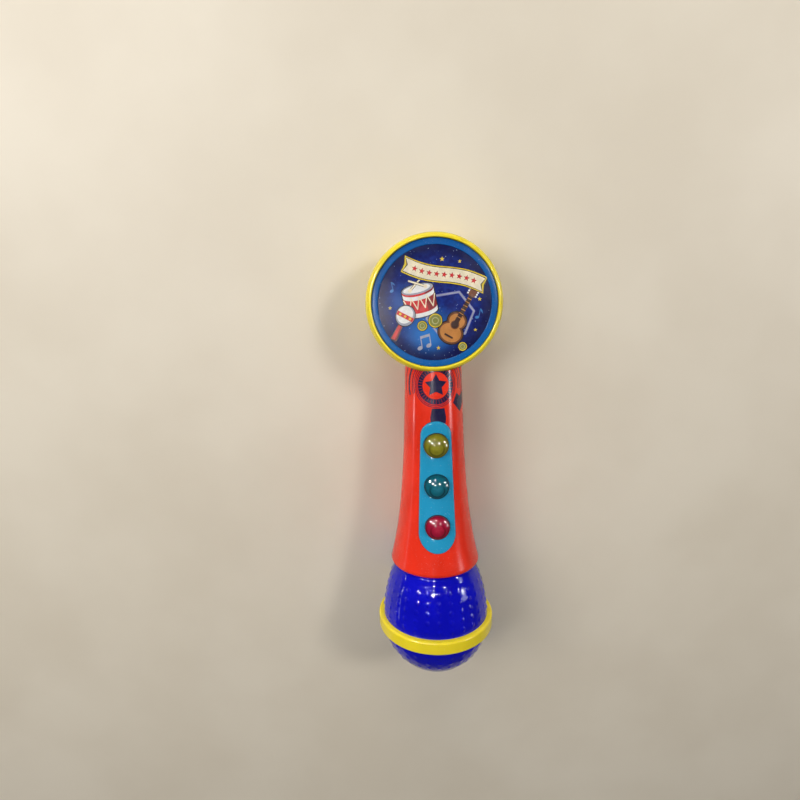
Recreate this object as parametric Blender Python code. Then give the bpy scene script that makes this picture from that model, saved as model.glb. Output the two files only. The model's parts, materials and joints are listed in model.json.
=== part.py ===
"""Toy microphone with three light-up melody buttons and a round picture disc.

The microphone is modelled along its own axis, which is local Y: +Y points to the round disc at
the end of the handle, -Y to the ball head, and +Z to the button side. A station along the
handle is the distance from the disc's centre towards the head, so a station s lies at y = -s.
An empty holds the whole microphone and lays it on its back on the plane z = 0, where it rests
on the head's ring and on the rear edge of the disc.
"""

import math

import bmesh
import bpy
from mathutils import Matrix, Vector

MM = 0.001
GAP = 0.3

# Disc at the end of the handle: a round housing whose axis is local Z.
DISC_RADIUS = 33.9
DISC_FRONT = 16.5
DISC_REAR = -15.2
DISC_WALL = 2.0
DISC_SIDE_TOP = 8.5
DISC_SIDE_BOTTOM = -6.0
RIM_WIDTH = 2.6
REAR_ROUNDING = 4.0
WINDOW_RADIUS = 30.3
LEDGE_Z = 13.0
PICTURE_RADIUS = 27.1
PICTURE_BOTTOM = 14.6
PICTURE_TOP = 15.1
PICTURE_SEAT_Z = 14.3
FACE_TOP = 15.3
LEDGE_BORE = 27.0
LEDGE_THICKNESS = 1.6
GRILLE_RINGS = ((9.0, 8), (15.0, 12))
GRILLE_HOLE = 1.3
DISC_SCREW_CIRCLE = 27.3
DISC_SCREW_ANGLES = (90.0, 210.0, 330.0)
DISC_SCREW_HEAD_Z = -6.3
SPEAKER_RIB = (20.4, 21.6, 2.6)

# Handle: a slim grip that flares into a rounded lip under the head.
HANDLE_START = 27.6
FLARE_START = 30.0
FLARE_END = 137.6
GRIP_RADIUS = 14.6
GRIP_TAPER = 3.6
FLARE = 6.0
LIP_ROUNDING = 2.0
HANDLE_WALL = 1.8
MOUTH_RADIUS = 20.4
MOUTH_START = 133.5
NECK_RADIUS = 9.0
NECK_BORE = 7.2
NECK_FLANGE = (27.6, 29.4, 10.6)
HANDLE_SCREWS = ((-9.0, 130.5), (9.0, 130.5))
HANDLE_SCREW_HEAD_Z = -12.3
SCREW_HOLE_RADIUS = 1.35
SCREW_PASSAGE_RADIUS = 1.5
SCREW_RECESS_RADIUS = 2.5
POST_END_DEPTH = 0.9

# Button panel and buttons.
PANEL_ENDS = ((66.0, 7.9), (116.9, 9.6))
PANEL_HEIGHT = 1.1
PANEL_POCKET = 0.6
BUTTON_STATIONS = (70.3, 91.45, 112.6)
BUTTON_COLOURS = ("yellow", "teal", "red")
BUTTON_RADIUS = 6.3
BUTTON_TRAVEL = 0.8
PRESS_CLEARANCE = 0.15
FLANGE_RADIUS = 7.2
FLANGE_TOP = -5.6
FLANGE_THICKNESS = 0.8

# Circuit board, parallel to the chord of the button panel.
BOARD_TOP = -10.25
BOARD_THICKNESS = 1.2
BOARD_HALF_WIDTH = 8.5
BOARD_HALF_LENGTH = 31.0
BOARD_SCREW_OFFSETS = (-10.6, 10.6)
SWITCH_TOP = -5.95

# Ball head: an upper and a lower dome with a proud ring round their joint.
COLLAR_RADIUS = 20.0
COLLAR_START = 134.0
DOME_START = 139.95
SHOULDER_RADIUS = 2.4
EQUATOR = 176.0
DOME_RADIUS = 29.4
DOME_UPPER_LENGTH = 52.0
DOME_LOWER_LENGTH = 29.0
DOME_LOWER_POWER = 1.85
DOME_WALL = 1.8
RING_START = 170.7
RING_END = 177.1
RING_RADIUS = 32.0
RING_BORE = 27.9
RING_ROUNDING = 0.8

# Spigots that join the domes inside the ring, each as (outer radius, inner radius).
UPPER_SPIGOT = (27.6, 25.8)
LOWER_SPIGOT = (25.5, 23.7)
LOWER_SPIGOT_START = 171.5

# Lamps in the head's collar.
LAMP_BOARD = (135.6, 136.8)
LAMP_CIRCLE = 8.0
LAMP_RADIUS = 2.45
LAMP_FLANGE_RADIUS = 2.9
LAMP_STATIONS = (137.1, 138.0, 142.2, 144.7)

# Battery compartment for two slim cells, its door and its contacts.
CELL_RADIUS = 5.25
CELL_LENGTH = 44.5
CELL_X = 5.6
CELL_Z = -6.5
TRAY_START = 66.8
TRAY_END = 125.2
BAY_START = 68.4
BAY_END = 118.3
SEAT_DEPTH = 1.3
CONTACT_TOP = -3.8
CONTACT_BOTTOM = -9.2
DOOR_ENDS = (65.0, 125.8)
DOOR_HALF_WIDTH = 11.0
DOOR_CORNER = 3.0
DOOR_SCREW_STATION = 122.0
DOOR_SCREW_HEAD_Z = -19.3
DOOR_POST_RADIUS = 3.6

# Power switch on the back of the grip.
POWER_STATION = 50.0
POWER_TRAVEL = 4.0
POWER_RIB_OFFSET = 7.5
KNOB_HALF_WIDTH = 2.0

SEGMENTS = 32
HEAD_SEGMENTS = 28
MERGE = 0.002


# ---------------------------------------------------------------- materials

def material(name, colour, roughness, metallic=0.0, alpha=1.0):
    """Return the named Principled material, made on its first use."""
    found = bpy.data.materials.get(name)
    if found:
        return found
    made = bpy.data.materials.new(name)
    made.use_nodes = True
    shader = made.node_tree.nodes["Principled BSDF"]
    shader.inputs["Base Color"].default_value = (*colour, 1.0)
    shader.inputs["Roughness"].default_value = roughness
    shader.inputs["Metallic"].default_value = metallic
    shader.inputs["Alpha"].default_value = alpha
    return made


def orange_plastic():
    return material("orange_red_plastic", (0.75, 0.045, 0.018), 0.28)


def yellow_plastic():
    return material("yellow_plastic", (0.83, 0.66, 0.03), 0.3)


def blue_plastic():
    return material("royal_blue_plastic", (0.005, 0.008, 0.42), 0.14)


def steel():
    return material("steel", (0.55, 0.55, 0.56), 0.35, 1.0)


def board_green():
    return material("circuit_board", (0.02, 0.16, 0.05), 0.5)


# ---------------------------------------------------------------- mesh helpers

def finish(name, bm, look, smooth_angle=40.0):
    """Turn a bmesh in millimetres into a shaded object in metres."""
    bmesh.ops.scale(bm, vec=(MM, MM, MM), verts=bm.verts)
    mesh = bpy.data.meshes.new(name)
    bm.to_mesh(mesh)
    bm.free()
    obj = bpy.data.objects.new(name, mesh)
    bpy.context.scene.collection.objects.link(obj)
    if look:
        mesh.materials.append(look)
    shade(obj, smooth_angle)
    return obj


def shade(obj, smooth_angle=40.0):
    obj.data.shade_smooth()
    obj.data.set_sharp_from_angle(angle=math.radians(smooth_angle))


def lathe(name, profile, axis, look, segments=SEGMENTS):
    """Spin a profile of (radius, height) points round the local Y or Z axis.

    A profile that starts and ends on the axis is left open there; any other is closed.
    """
    bm = bmesh.new()
    if axis == "Y":
        verts = [bm.verts.new((radius, height, 0.0)) for radius, height in profile]
        direction = (0.0, 1.0, 0.0)
    else:
        verts = [bm.verts.new((radius, 0.0, height)) for radius, height in profile]
        direction = (0.0, 0.0, 1.0)
    edges = [bm.edges.new(pair) for pair in zip(verts, verts[1:])]
    if profile[0][0] > 0.0 or profile[-1][0] > 0.0:
        edges.append(bm.edges.new((verts[-1], verts[0])))
    bmesh.ops.spin(bm, geom=verts + edges, cent=(0.0, 0.0, 0.0), axis=direction,
                   angle=math.tau, steps=segments, use_merge=True)
    bmesh.ops.remove_doubles(bm, verts=bm.verts, dist=0.0005)
    bmesh.ops.dissolve_degenerate(bm, edges=bm.edges, dist=0.0001)
    bmesh.ops.recalc_face_normals(bm, faces=bm.faces)
    return finish(name, bm, look)


def along_handle(profile):
    """Turn (station, radius) points into (radius, y) points for a lathe round Y."""
    return [(radius, -station) for station, radius in profile]


def cylinder(name, radius, bottom, top, look=None, segments=20):
    """An upright cylinder round local Z between two heights."""
    bm = bmesh.new()
    bmesh.ops.create_cone(bm, cap_ends=True, segments=segments, radius1=radius, radius2=radius,
                          depth=top - bottom)
    bmesh.ops.translate(bm, vec=(0.0, 0.0, (top + bottom) / 2.0), verts=bm.verts)
    return finish(name, bm, look)


def box(name, low, high, look=None, bevel=0.0):
    """A box between two corners, with its edges bevelled if asked."""
    bm = bmesh.new()
    bmesh.ops.create_cube(bm, size=1.0)
    size = [b - a for a, b in zip(low, high)]
    middle = [(a + b) / 2.0 for a, b in zip(low, high)]
    bmesh.ops.scale(bm, vec=size, verts=bm.verts)
    bmesh.ops.translate(bm, vec=middle, verts=bm.verts)
    if bevel:
        bmesh.ops.bevel(bm, geom=bm.edges[:], offset=bevel, segments=1, affect="EDGES")
    return finish(name, bm, look, 30.0)


def prism(name, outline, bottom, top, look=None):
    """Extrude an (x, station) outline along Z between two heights."""
    bm = bmesh.new()
    face = bm.faces.new([bm.verts.new((x, -station, bottom)) for x, station in outline])
    raised = bmesh.ops.extrude_face_region(bm, geom=[face])["geom"]
    moved = [item for item in raised if isinstance(item, bmesh.types.BMVert)]
    bmesh.ops.translate(bm, vec=(0.0, 0.0, top - bottom), verts=moved)
    bmesh.ops.recalc_face_normals(bm, faces=bm.faces)
    return finish(name, bm, look)


def tube(name, points, radius, look, sides=5):
    """Sweep a round section along a path, with closed ends."""
    path = [Vector(point) for point in points]
    bm = bmesh.new()
    side = None
    rings = []
    for index, point in enumerate(path):
        ahead = path[min(index + 1, len(path) - 1)]
        behind = path[max(index - 1, 0)]
        forward = (ahead - behind).normalized()
        if side is None:
            side = forward.orthogonal().normalized()
        side = (side - forward * side.dot(forward)).normalized()
        other = forward.cross(side)
        ring = []
        for step in range(sides):
            turn = math.tau * step / sides
            offset = side * math.cos(turn) + other * math.sin(turn)
            ring.append(bm.verts.new(point + offset * radius))
        rings.append(ring)
    for first, second in zip(rings, rings[1:]):
        for step in range(sides):
            following = (step + 1) % sides
            bm.faces.new((first[step], first[following], second[following], second[step]))
    bm.faces.new(rings[0][::-1])
    bm.faces.new(rings[-1])
    bmesh.ops.recalc_face_normals(bm, faces=bm.faces)
    return finish(name, bm, look)


def arc(centre, radii, start, end, steps):
    """Points of an elliptical arc between two angles in degrees, both ends included."""
    points = []
    for step in range(steps + 1):
        turn = math.radians(start + (end - start) * step / steps)
        points.append((centre[0] + radii[0] * math.cos(turn), centre[1] + radii[1] * math.sin(turn)))
    return points


def capsule_outline(first, second, grow=0.0, steps=12):
    """Outline round two circles given as (station, radius), as (x, station) points."""
    (station_a, radius_a), (station_b, radius_b) = first, second
    lean = math.degrees(math.asin((radius_b - radius_a) / (station_b - station_a)))
    end_b = arc((0.0, station_b), (radius_b + grow,) * 2, -lean, 180.0 + lean, steps)
    end_a = arc((0.0, station_a), (radius_a + grow,) * 2, 180.0 + lean, 360.0 - lean, steps)
    return end_b + end_a


def rounded_rectangle(half_width, station_a, station_b, corner, steps=4):
    """A rounded rectangle across the handle, as (x, station) points."""
    points = []
    corners = ((1, station_b, 0), (-1, station_b, 90), (-1, station_a, 180), (1, station_a, 270))
    for sign, station, start in corners:
        inward = -corner if station == station_b else corner
        centre = (sign * (half_width - corner), station + inward)
        points += arc(centre, (corner, corner), start, start + 90, steps)
    return points


def clean(mesh):
    """Merge the coincident corners that a Boolean leaves behind."""
    bm = bmesh.new()
    bm.from_mesh(mesh)
    bmesh.ops.remove_doubles(bm, verts=bm.verts, dist=MERGE * MM)
    bmesh.ops.dissolve_degenerate(bm, edges=bm.edges, dist=MERGE * MM)
    bm.to_mesh(mesh)
    bm.free()


def combine(target, tool, operation):
    """Apply an exact Boolean of the tool to the target and remove the tool."""
    modifier = target.modifiers.new(operation, "BOOLEAN")
    modifier.operation = operation
    modifier.solver = "EXACT"
    modifier.object = tool
    bpy.context.view_layer.update()
    graph = bpy.context.evaluated_depsgraph_get()
    mesh = bpy.data.meshes.new_from_object(target.evaluated_get(graph))
    clean(mesh)
    target.modifiers.clear()
    old = target.data
    target.data = mesh
    bpy.data.meshes.remove(old)
    mesh.name = target.name
    bpy.data.objects.remove(tool, do_unlink=True)
    shade(target)


def cut(target, *tools):
    for tool in tools:
        combine(target, tool, "DIFFERENCE")


def fuse(target, *tools):
    for tool in tools:
        combine(target, tool, "UNION")


def keep(target, tool):
    combine(target, tool, "INTERSECT")


def place(obj, location=(0.0, 0.0, 0.0), rotation=(0.0, 0.0, 0.0), parent=None):
    """Set an object's place in millimetres and degrees, and its parent."""
    obj.location = [value * MM for value in location]
    obj.rotation_euler = [math.radians(value) for value in rotation]
    if parent:
        obj.parent = parent
    return obj


# ---------------------------------------------------------------- outlines of the body

def handle_radius(station):
    """Outer radius of the grip: a slight taper plus the flare towards the lip."""
    share = (station - FLARE_START) / (FLARE_END - FLARE_START)
    return GRIP_RADIUS + GRIP_TAPER * share + FLARE * share ** 4


def handle_points(start, end, steps, offset=0.0):
    """Stations and radii along the grip, closer together towards the flare."""
    points = []
    for step in range(steps + 1):
        share = step / steps
        station = start + (end - start) * (1.0 - (1.0 - share) ** 1.4)
        points.append((station, handle_radius(station) + offset))
    return points


def dome_radius(station, offset=0.0):
    """Radius of the ball head's upper half at a station."""
    share = (station - EQUATOR) / (DOME_UPPER_LENGTH + offset)
    return (DOME_RADIUS + offset) * math.sqrt(1.0 - share * share)


def lower_dome_points(first, last, steps, offset=0.0):
    """Stations and radii of the slightly pointed lower half, between two angles from the tip."""
    power = 2.0 / DOME_LOWER_POWER
    points = []
    for step in range(steps + 1):
        turn = math.radians(first + (last - first) * step / steps)
        station = EQUATOR + (DOME_LOWER_LENGTH + offset) * abs(math.cos(turn)) ** power
        points.append((station, (DOME_RADIUS + offset) * abs(math.sin(turn)) ** power))
    return points


def disc_front_side(offset=0.0):
    """The disc's side from its widest level up to the top of the rim, as (radius, z) points."""
    centre = (DISC_RADIUS - RIM_WIDTH, DISC_SIDE_TOP)
    radii = (RIM_WIDTH + offset, DISC_FRONT - DISC_SIDE_TOP + offset)
    return arc(centre, radii, 0.0, 90.0, 5)


def disc_back_side(offset=0.0):
    """The disc's side from its widest level down to its rear face, as (radius, z) points."""
    centre = (DISC_RADIUS - REAR_ROUNDING, DISC_SIDE_BOTTOM)
    radii = (REAR_ROUNDING + offset, DISC_SIDE_BOTTOM - DISC_REAR + offset)
    return arc(centre, radii, 0.0, -90.0, 4)


def panel_top(station):
    return handle_radius(station) + PANEL_HEIGHT


def core(name, start, end, offset):
    """The solid inside the handle's surface moved by an offset, for trimming inner pieces."""
    points = handle_points(start, end, 10, offset)
    profile = [(start, 0.0)] + points + [(end, 0.0)]
    return lathe(name, along_handle(profile), "Y", None)


def half_space(name, side):
    """A block that covers everything beyond the parting plane on one side."""
    reach = 320.0
    if side > 0:
        return box(name, (-reach, -reach, GAP / 2.0), (reach, reach, reach))
    return box(name, (-reach, -reach, -reach), (reach, reach, -GAP / 2.0))


# ---------------------------------------------------------------- handle

def disc_block():
    """The room that the disc takes out of the handle's end, less the neck that enters it."""
    front = disc_front_side(GAP)[::-1]
    back = disc_back_side(GAP)
    profile = [(0.0, front[0][1])] + front + back + [(0.0, back[-1][1])]
    block = lathe("disc_block", profile, "Z", None)
    flange_start, flange_end, flange_radius = NECK_FLANGE
    neck = [(20.0, 0.0), (20.0, NECK_RADIUS), (flange_start - GAP, NECK_RADIUS),
            (flange_start - GAP, flange_radius), (flange_end, flange_radius),
            (flange_end, NECK_RADIUS), (45.0, NECK_RADIUS), (45.0, 0.0)]
    cut(block, lathe("neck_block", along_handle(neck), "Y", None))
    return block


def handle_body():
    """The whole hollow handle before it is parted into its two shells."""
    outer = handle_points(HANDLE_START, FLARE_END, 9)
    lip_radius = handle_radius(FLARE_END)
    lip = arc((FLARE_END, lip_radius - LIP_ROUNDING), (LIP_ROUNDING,) * 2, 90.0, 0.0, 3)
    end = FLARE_END + LIP_ROUNDING
    inner = handle_points(43.0, MOUTH_START - 2.0, 6, -HANDLE_WALL)
    profile = [(HANDLE_START, NECK_BORE)] + outer + lip[1:]
    profile += [(end, MOUTH_RADIUS), (MOUTH_START, MOUTH_RADIUS)] + inner[::-1]
    profile += [(38.0, NECK_BORE)]
    body = lathe("handle_body", along_handle(profile), "Y", orange_plastic())
    cut(body, disc_block())
    return body


def copy_of(obj, name):
    twin = obj.copy()
    twin.data = obj.data.copy()
    twin.name = name
    bpy.context.scene.collection.objects.link(twin)
    return twin


def boss(name, x, station, radius, bottom, top):
    """A round post or cutter that stands along Z on the handle."""
    return place(cylinder(name, radius, bottom, top, None, 12), (x, -station, 0.0))


def keypad_tilt():
    """Angle of the button plane to the handle's axis, in degrees."""
    first, _, last = BUTTON_STATIONS
    return math.degrees(math.atan2(panel_top(last) - panel_top(first), last - first))


def keypad_place(along, height):
    """Microphone coordinates of a point on the button plane's frame."""
    first, middle, last = BUTTON_STATIONS
    centre = Vector((0.0, -middle, (panel_top(first) + panel_top(last)) / 2.0))
    turn = Matrix.Rotation(math.radians(-keypad_tilt()), 3, "X")
    return centre + turn @ Vector((0.0, along, height))


def button_height(index):
    """Height of the panel's surface over the button plane at a button."""
    along = (BUTTON_STATIONS[1] - BUTTON_STATIONS[index]) / math.cos(math.radians(keypad_tilt()))
    chord = keypad_place(along, 0.0)
    return along, panel_top(-chord.y) - chord.z


def button_bores(radius):
    """Cutters for the three button holes."""
    bores = []
    for index in range(3):
        along, _ = button_height(index)
        bore = cylinder(f"bore_{index}", radius, -9.0, 9.0, None, 20)
        place(bore, keypad_place(along, 0.0), (-keypad_tilt(), 0.0, 0.0))
        bores.append(bore)
    return bores


def panel_layer(name, low, high, grow, look):
    """A layer of the handle's front surface inside the panel's outline."""
    start, end = PANEL_ENDS[0][0] - 14.0, PANEL_ENDS[1][0] + 14.0
    outside = handle_points(start, end, 7, high)
    inside = handle_points(start, end, 7, low)
    layer = lathe(name, along_handle(outside + inside[::-1]), "Y", look, 48)
    keep(layer, prism("panel_outline", capsule_outline(*PANEL_ENDS, grow), 4.0, 60.0))
    return layer


def handle_front_shell(body):
    shell = copy_of(body, "handle_front_shell")
    keep(shell, half_space("front_side", 1))
    cut(shell, panel_layer("panel_pocket", -PANEL_POCKET, 4.0, GAP, None))
    for number, along in enumerate(BOARD_SCREW_OFFSETS):
        post = cylinder(f"board_post_{number}", 2.4, BOARD_TOP + GAP, 2.0, None, 16)
        place(post, keypad_place(along, 0.0), (-keypad_tilt(), 0.0, 0.0))
        keep(post, core("post_limit", 40.0, 137.0, -PANEL_POCKET - 0.6))
        fuse(shell, post)
        hole = cylinder(f"board_hole_{number}", 1.0, BOARD_TOP - 1.0, BOARD_TOP + 6.0, None, 12)
        cut(shell, place(hole, keypad_place(along, 0.0), (-keypad_tilt(), 0.0, 0.0)))
    for number, (x, station) in enumerate(HANDLE_SCREWS):
        post = boss(f"front_post_{number}", x, station, 2.8, GAP, 30.0)
        keep(post, core("post_limit", 90.0, 137.0, -POST_END_DEPTH))
        fuse(shell, post)
        cut(shell, boss(f"front_hole_{number}", x, station, SCREW_HOLE_RADIUS, -1.0, 10.0))
    cut(shell, *button_bores(BUTTON_RADIUS + GAP))
    return shell


def handle_rear_shell(body):
    shell = copy_of(body, "handle_rear_shell")
    keep(shell, half_space("rear_side", -1))
    for number, (x, station) in enumerate(HANDLE_SCREWS):
        post = boss(f"rear_post_{number}", x, station, 3.0, -30.0, -GAP)
        keep(post, core("post_limit", 90.0, 137.0, -POST_END_DEPTH))
        fuse(shell, post)
        cut(shell, boss(f"rear_hole_{number}", x, station, SCREW_PASSAGE_RADIUS, -30.0, 1.0),
            boss(f"rear_recess_{number}", x, station, SCREW_RECESS_RADIUS, -30.0, HANDLE_SCREW_HEAD_Z + GAP))
    for station in (POWER_STATION - POWER_RIB_OFFSET, POWER_STATION + POWER_RIB_OFFSET):
        rib = box("switch_rib", (-5.0, -station - 0.8, -20.0), (5.0, -station + 0.8, -9.0))
        keep(rib, core("rib_limit", 38.0, 80.0, -POST_END_DEPTH))
        fuse(shell, rib)
    opening = rounded_rectangle(DOOR_HALF_WIDTH + GAP, DOOR_ENDS[0] - GAP, DOOR_ENDS[1] + GAP,
                                DOOR_CORNER + GAP)
    cut(shell, prism("door_opening", opening, -60.0, -3.0))
    half_slot = POWER_TRAVEL / 2.0 + KNOB_HALF_WIDTH + GAP
    slot_side = KNOB_HALF_WIDTH + GAP
    cut(shell, box("switch_slot", (-slot_side, -POWER_STATION - half_slot, -30.0),
                   (slot_side, -POWER_STATION + half_slot, -10.0)))
    return shell


def battery_door():
    """A piece of the rear surface with a screw boss at its wide end."""
    start, end = DOOR_ENDS[0] - 4.0, DOOR_ENDS[1] + 4.0
    outside = handle_points(start, end, 8, 0.0)
    inside = handle_points(start, end, 8, -HANDLE_WALL)
    door = lathe("battery_door", along_handle(outside + inside[::-1]), "Y", orange_plastic())
    outline = rounded_rectangle(DOOR_HALF_WIDTH, DOOR_ENDS[0], DOOR_ENDS[1], DOOR_CORNER)
    keep(door, prism("door_outline", outline, -60.0, -4.0))
    post = boss("door_post", 0.0, DOOR_SCREW_STATION, DOOR_POST_RADIUS, -30.0, -17.5)
    keep(post, core("post_limit", 90.0, 137.0, -POST_END_DEPTH))
    fuse(door, post)
    cut(door, boss("door_hole", 0.0, DOOR_SCREW_STATION, SCREW_PASSAGE_RADIUS, -30.0, -10.0),
        boss("door_recess", 0.0, DOOR_SCREW_STATION, SCREW_RECESS_RADIUS + 0.1, -30.0, DOOR_SCREW_HEAD_Z + GAP))
    return door


# ---------------------------------------------------------------- buttons and electronics

def button_panel():
    panel = panel_layer("button_panel", GAP - PANEL_POCKET, PANEL_HEIGHT, 0.0,
                        material("cyan_plastic", (0.03, 0.3, 0.52), 0.25))
    cut(panel, *button_bores(BUTTON_RADIUS + GAP))
    return panel


def button_cap(index, colours):
    """A hollow translucent cap: stepped dome, skirt, retaining flange and pressing post."""
    _, height = button_height(index)
    flange_bottom = FLANGE_TOP - FLANGE_THICKNESS
    tip = SWITCH_TOP + BUTTON_TRAVEL + PRESS_CLEARANCE - height
    dome = arc((0.0, 0.6), (4.7, 2.3), 0.0, 90.0, 4)
    step = arc((5.1, 0.5), (1.2, 1.2), 0.0, 90.0, 2)
    profile = dome[::-1] + step[::-1]
    profile += [(BUTTON_RADIUS, FLANGE_TOP), (FLANGE_RADIUS, FLANGE_TOP), (FLANGE_RADIUS, flange_bottom),
                (4.9, flange_bottom), (4.9, -0.6), (3.6, 0.9), (1.5, 1.2), (1.5, tip), (0.0, tip)]
    name = f"button_cap_{BUTTON_COLOURS[index]}"
    look = material(f"clear_{BUTTON_COLOURS[index]}", colours[index], 0.1, 0.0, 0.85)
    return lathe(name, profile, "Z", look, 16)


def main_board():
    """The circuit board with holes for its two screws, drawn on the button plane's frame."""
    board = box("main_circuit_board", (-BOARD_HALF_WIDTH, -BOARD_HALF_LENGTH, BOARD_TOP - BOARD_THICKNESS),
                (BOARD_HALF_WIDTH, BOARD_HALF_LENGTH, BOARD_TOP), board_green())
    for along in BOARD_SCREW_OFFSETS:
        hole = cylinder("board_hole", 1.2, BOARD_TOP - 3.0, BOARD_TOP + 1.0, None, 12)
        cut(board, place(hole, (0.0, along, 0.0)))
    return board


def tact_switch(number):
    """A square push switch with a round plunger."""
    black = material("black_plastic", (0.02, 0.02, 0.022), 0.4)
    switch = box(f"button_switch_{number}", (-3.0, -3.0, BOARD_TOP + GAP), (3.0, 3.0, SWITCH_TOP - 1.0),
                 black, 0.3)
    fuse(switch, cylinder("plunger", 1.7, SWITCH_TOP - 2.0, SWITCH_TOP, None, 14))
    return switch


def chip_led(number):
    """A small surface lamp beside a switch."""
    look = material("led_body", (0.85, 0.85, 0.8), 0.3)
    return box(f"button_led_{number}", (4.6, -1.6, BOARD_TOP + GAP), (6.2, 1.6, BOARD_TOP + 1.4), look, 0.25)


def sound_chip():
    """The black blob that covers the melody chip under the board."""
    bottom = BOARD_TOP - BOARD_THICKNESS - GAP
    dome = arc((0.0, bottom), (4.2, 1.5), 0.0, -90.0, 4)
    return lathe("sound_chip", [(0.0, bottom)] + dome, "Z",
                 material("black_resin", (0.012, 0.012, 0.012), 0.35), 20)


def power_switch():
    """The slide switch's body inside the grip and its sliding knob."""
    body = box("power_switch_body", (-5.0, -6.3, -11.5), (5.0, 6.3, -8.2), steel(), 0.4)
    place(body, (0.0, -POWER_STATION, 0.0))
    black = material("black_plastic", (0.02, 0.02, 0.022), 0.4)
    half = KNOB_HALF_WIDTH
    knob = box("power_switch_knob", (-half, -half, -16.4), (half, half, -11.9), black, 0.35)
    fuse(knob, box("knob_foot", (-2.6, -3.6, -12.6), (2.6, 3.6, -11.8)))
    start = -POWER_STATION - POWER_TRAVEL / 2.0
    place(knob, (0.0, start, 0.0))
    return body, knob


def screw(name, head_radius, head_height, shank_radius, length):
    """A pan-head screw with a cross recess; its head is at z = 0 and its shank goes up."""
    profile = [(0.0, -head_height), (head_radius * 0.6, -head_height), (head_radius, -head_height * 0.45),
               (head_radius, 0.0), (shank_radius, 0.0), (shank_radius, length - 1.2), (0.0, length)]
    made = lathe(name, profile, "Z", steel(), 8)
    arm = head_radius * 0.6
    depth = head_height * 0.55
    cross = box("cross", (-arm, -0.3, -head_height - 1.0), (arm, 0.3, depth - head_height))
    fuse(cross, box("cross_arm", (-0.3, -arm, -head_height - 1.0), (0.3, arm, depth - head_height)))
    cut(made, cross)
    return made


# ---------------------------------------------------------------- batteries

def battery_tray():
    """An upturned trough with two round channels and a post for the door's screw."""
    tray = box("battery_tray", (-12.6, -TRAY_END, -9.5), (12.6, -TRAY_START, -0.9),
               material("tray_plastic", (0.62, 0.05, 0.025), 0.45))
    fuse(tray, box("screw_post", (-4.5, -TRAY_END, -30.0), (4.5, -BAY_END - 0.6, -0.9)))
    keep(tray, core("tray_limit", 50.0, 137.0, -HANDLE_WALL - GAP))
    for x in (-CELL_X, CELL_X):
        channel = cylinder("channel", CELL_RADIUS + 0.35, BAY_START, BAY_END, None, 20)
        cut(tray, place(channel, (x, 0.0, CELL_Z), (90.0, 0.0, 0.0)))
    side = CELL_X + CELL_RADIUS + 0.3
    cut(tray, box("bay", (-side, -BAY_END, -30.0), (side, -BAY_START, CELL_Z)),
        box("seat", (-10.6, -BAY_START - SEAT_DEPTH, -30.0), (10.6, -BAY_START, CONTACT_TOP + GAP)),
        box("seat", (-10.6, -BAY_END, -30.0), (10.6, -BAY_END + SEAT_DEPTH, CONTACT_TOP + GAP)))
    cut(tray, boss("boss_room", 0.0, DOOR_SCREW_STATION, DOOR_POST_RADIUS + 0.4, -30.0, -17.2),
        boss("screw_hole", 0.0, DOOR_SCREW_STATION, SCREW_HOLE_RADIUS, -30.0, -6.0))
    for x in (-CELL_X, CELL_X):
        hole = cylinder("wire_hole", 0.9, TRAY_START - 2.0, BAY_START + 1.0, None, 8)
        cut(tray, place(hole, (x, 0.0, -3.6), (90.0, 0.0, 0.0)))
    return tray


def cell(name, x, nub_station, flat_station):
    """A slim dry cell that lies along the handle with its nub at one end."""
    direction = 1.0 if flat_station > nub_station else -1.0
    look = material("cell_jacket", (0.05, 0.16, 0.12), 0.3, 0.4)
    rim = CELL_RADIUS - 0.6
    steps = [(0.0, 0.0), (1.9, 0.0), (1.9, 0.9), (rim, 0.9), (CELL_RADIUS, 1.5),
             (CELL_RADIUS, CELL_LENGTH - 0.6), (rim, CELL_LENGTH), (0.0, CELL_LENGTH)]
    profile = [(radius, -(nub_station + direction * along)) for radius, along in steps]
    return place(lathe(name, profile, "Y", look, 18), (x, 0.0, CELL_Z))


def contact_spring(name, x, wide_station, narrow_station):
    """A conical coil that presses on a cell's flat end."""
    turns, steps_per_turn = 3, 9
    count = turns * steps_per_turn
    points = []
    for step in range(count + 1):
        share = step / count
        radius = 3.6 - 1.4 * share
        turn = math.tau * turns * share
        station = wide_station + (narrow_station - wide_station) * share
        points.append((x + radius * math.cos(turn), -station, CELL_Z + radius * math.sin(turn)))
    return tube(name, points, 0.28, steel(), 4)


def contact_plate(name, low_x, high_x, station):
    return box(name, (low_x, -station - 0.4, CONTACT_BOTTOM), (high_x, -station, CONTACT_TOP), steel())


# ---------------------------------------------------------------- disc

def disc_front_housing():
    """Front half of the disc with its raised rim and the ledge that carries the face."""
    inside = DISC_RADIUS - DISC_WALL
    under = LEDGE_Z - LEDGE_THICKNESS
    profile = [(DISC_RADIUS, GAP / 2.0)] + disc_front_side()
    profile += [(WINDOW_RADIUS + 0.4, DISC_FRONT), (WINDOW_RADIUS, DISC_FRONT - 0.5), (WINDOW_RADIUS, LEDGE_Z),
                (LEDGE_BORE, LEDGE_Z), (LEDGE_BORE, under), (inside - 2.0, under),
                (inside, DISC_SIDE_TOP), (inside, GAP / 2.0)]
    housing = lathe("disc_front_housing", profile, "Z", yellow_plastic())
    for angle in DISC_SCREW_ANGLES:
        spot = disc_screw_spot(angle)
        fuse(housing, place(cylinder("post", 2.7, GAP, LEDGE_Z - 0.8, None, 10), spot))
        cut(housing, place(cylinder("hole", SCREW_HOLE_RADIUS, -1.0, 9.5, None, 8), spot))
    cut(housing, neck_opening())
    return housing


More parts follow.
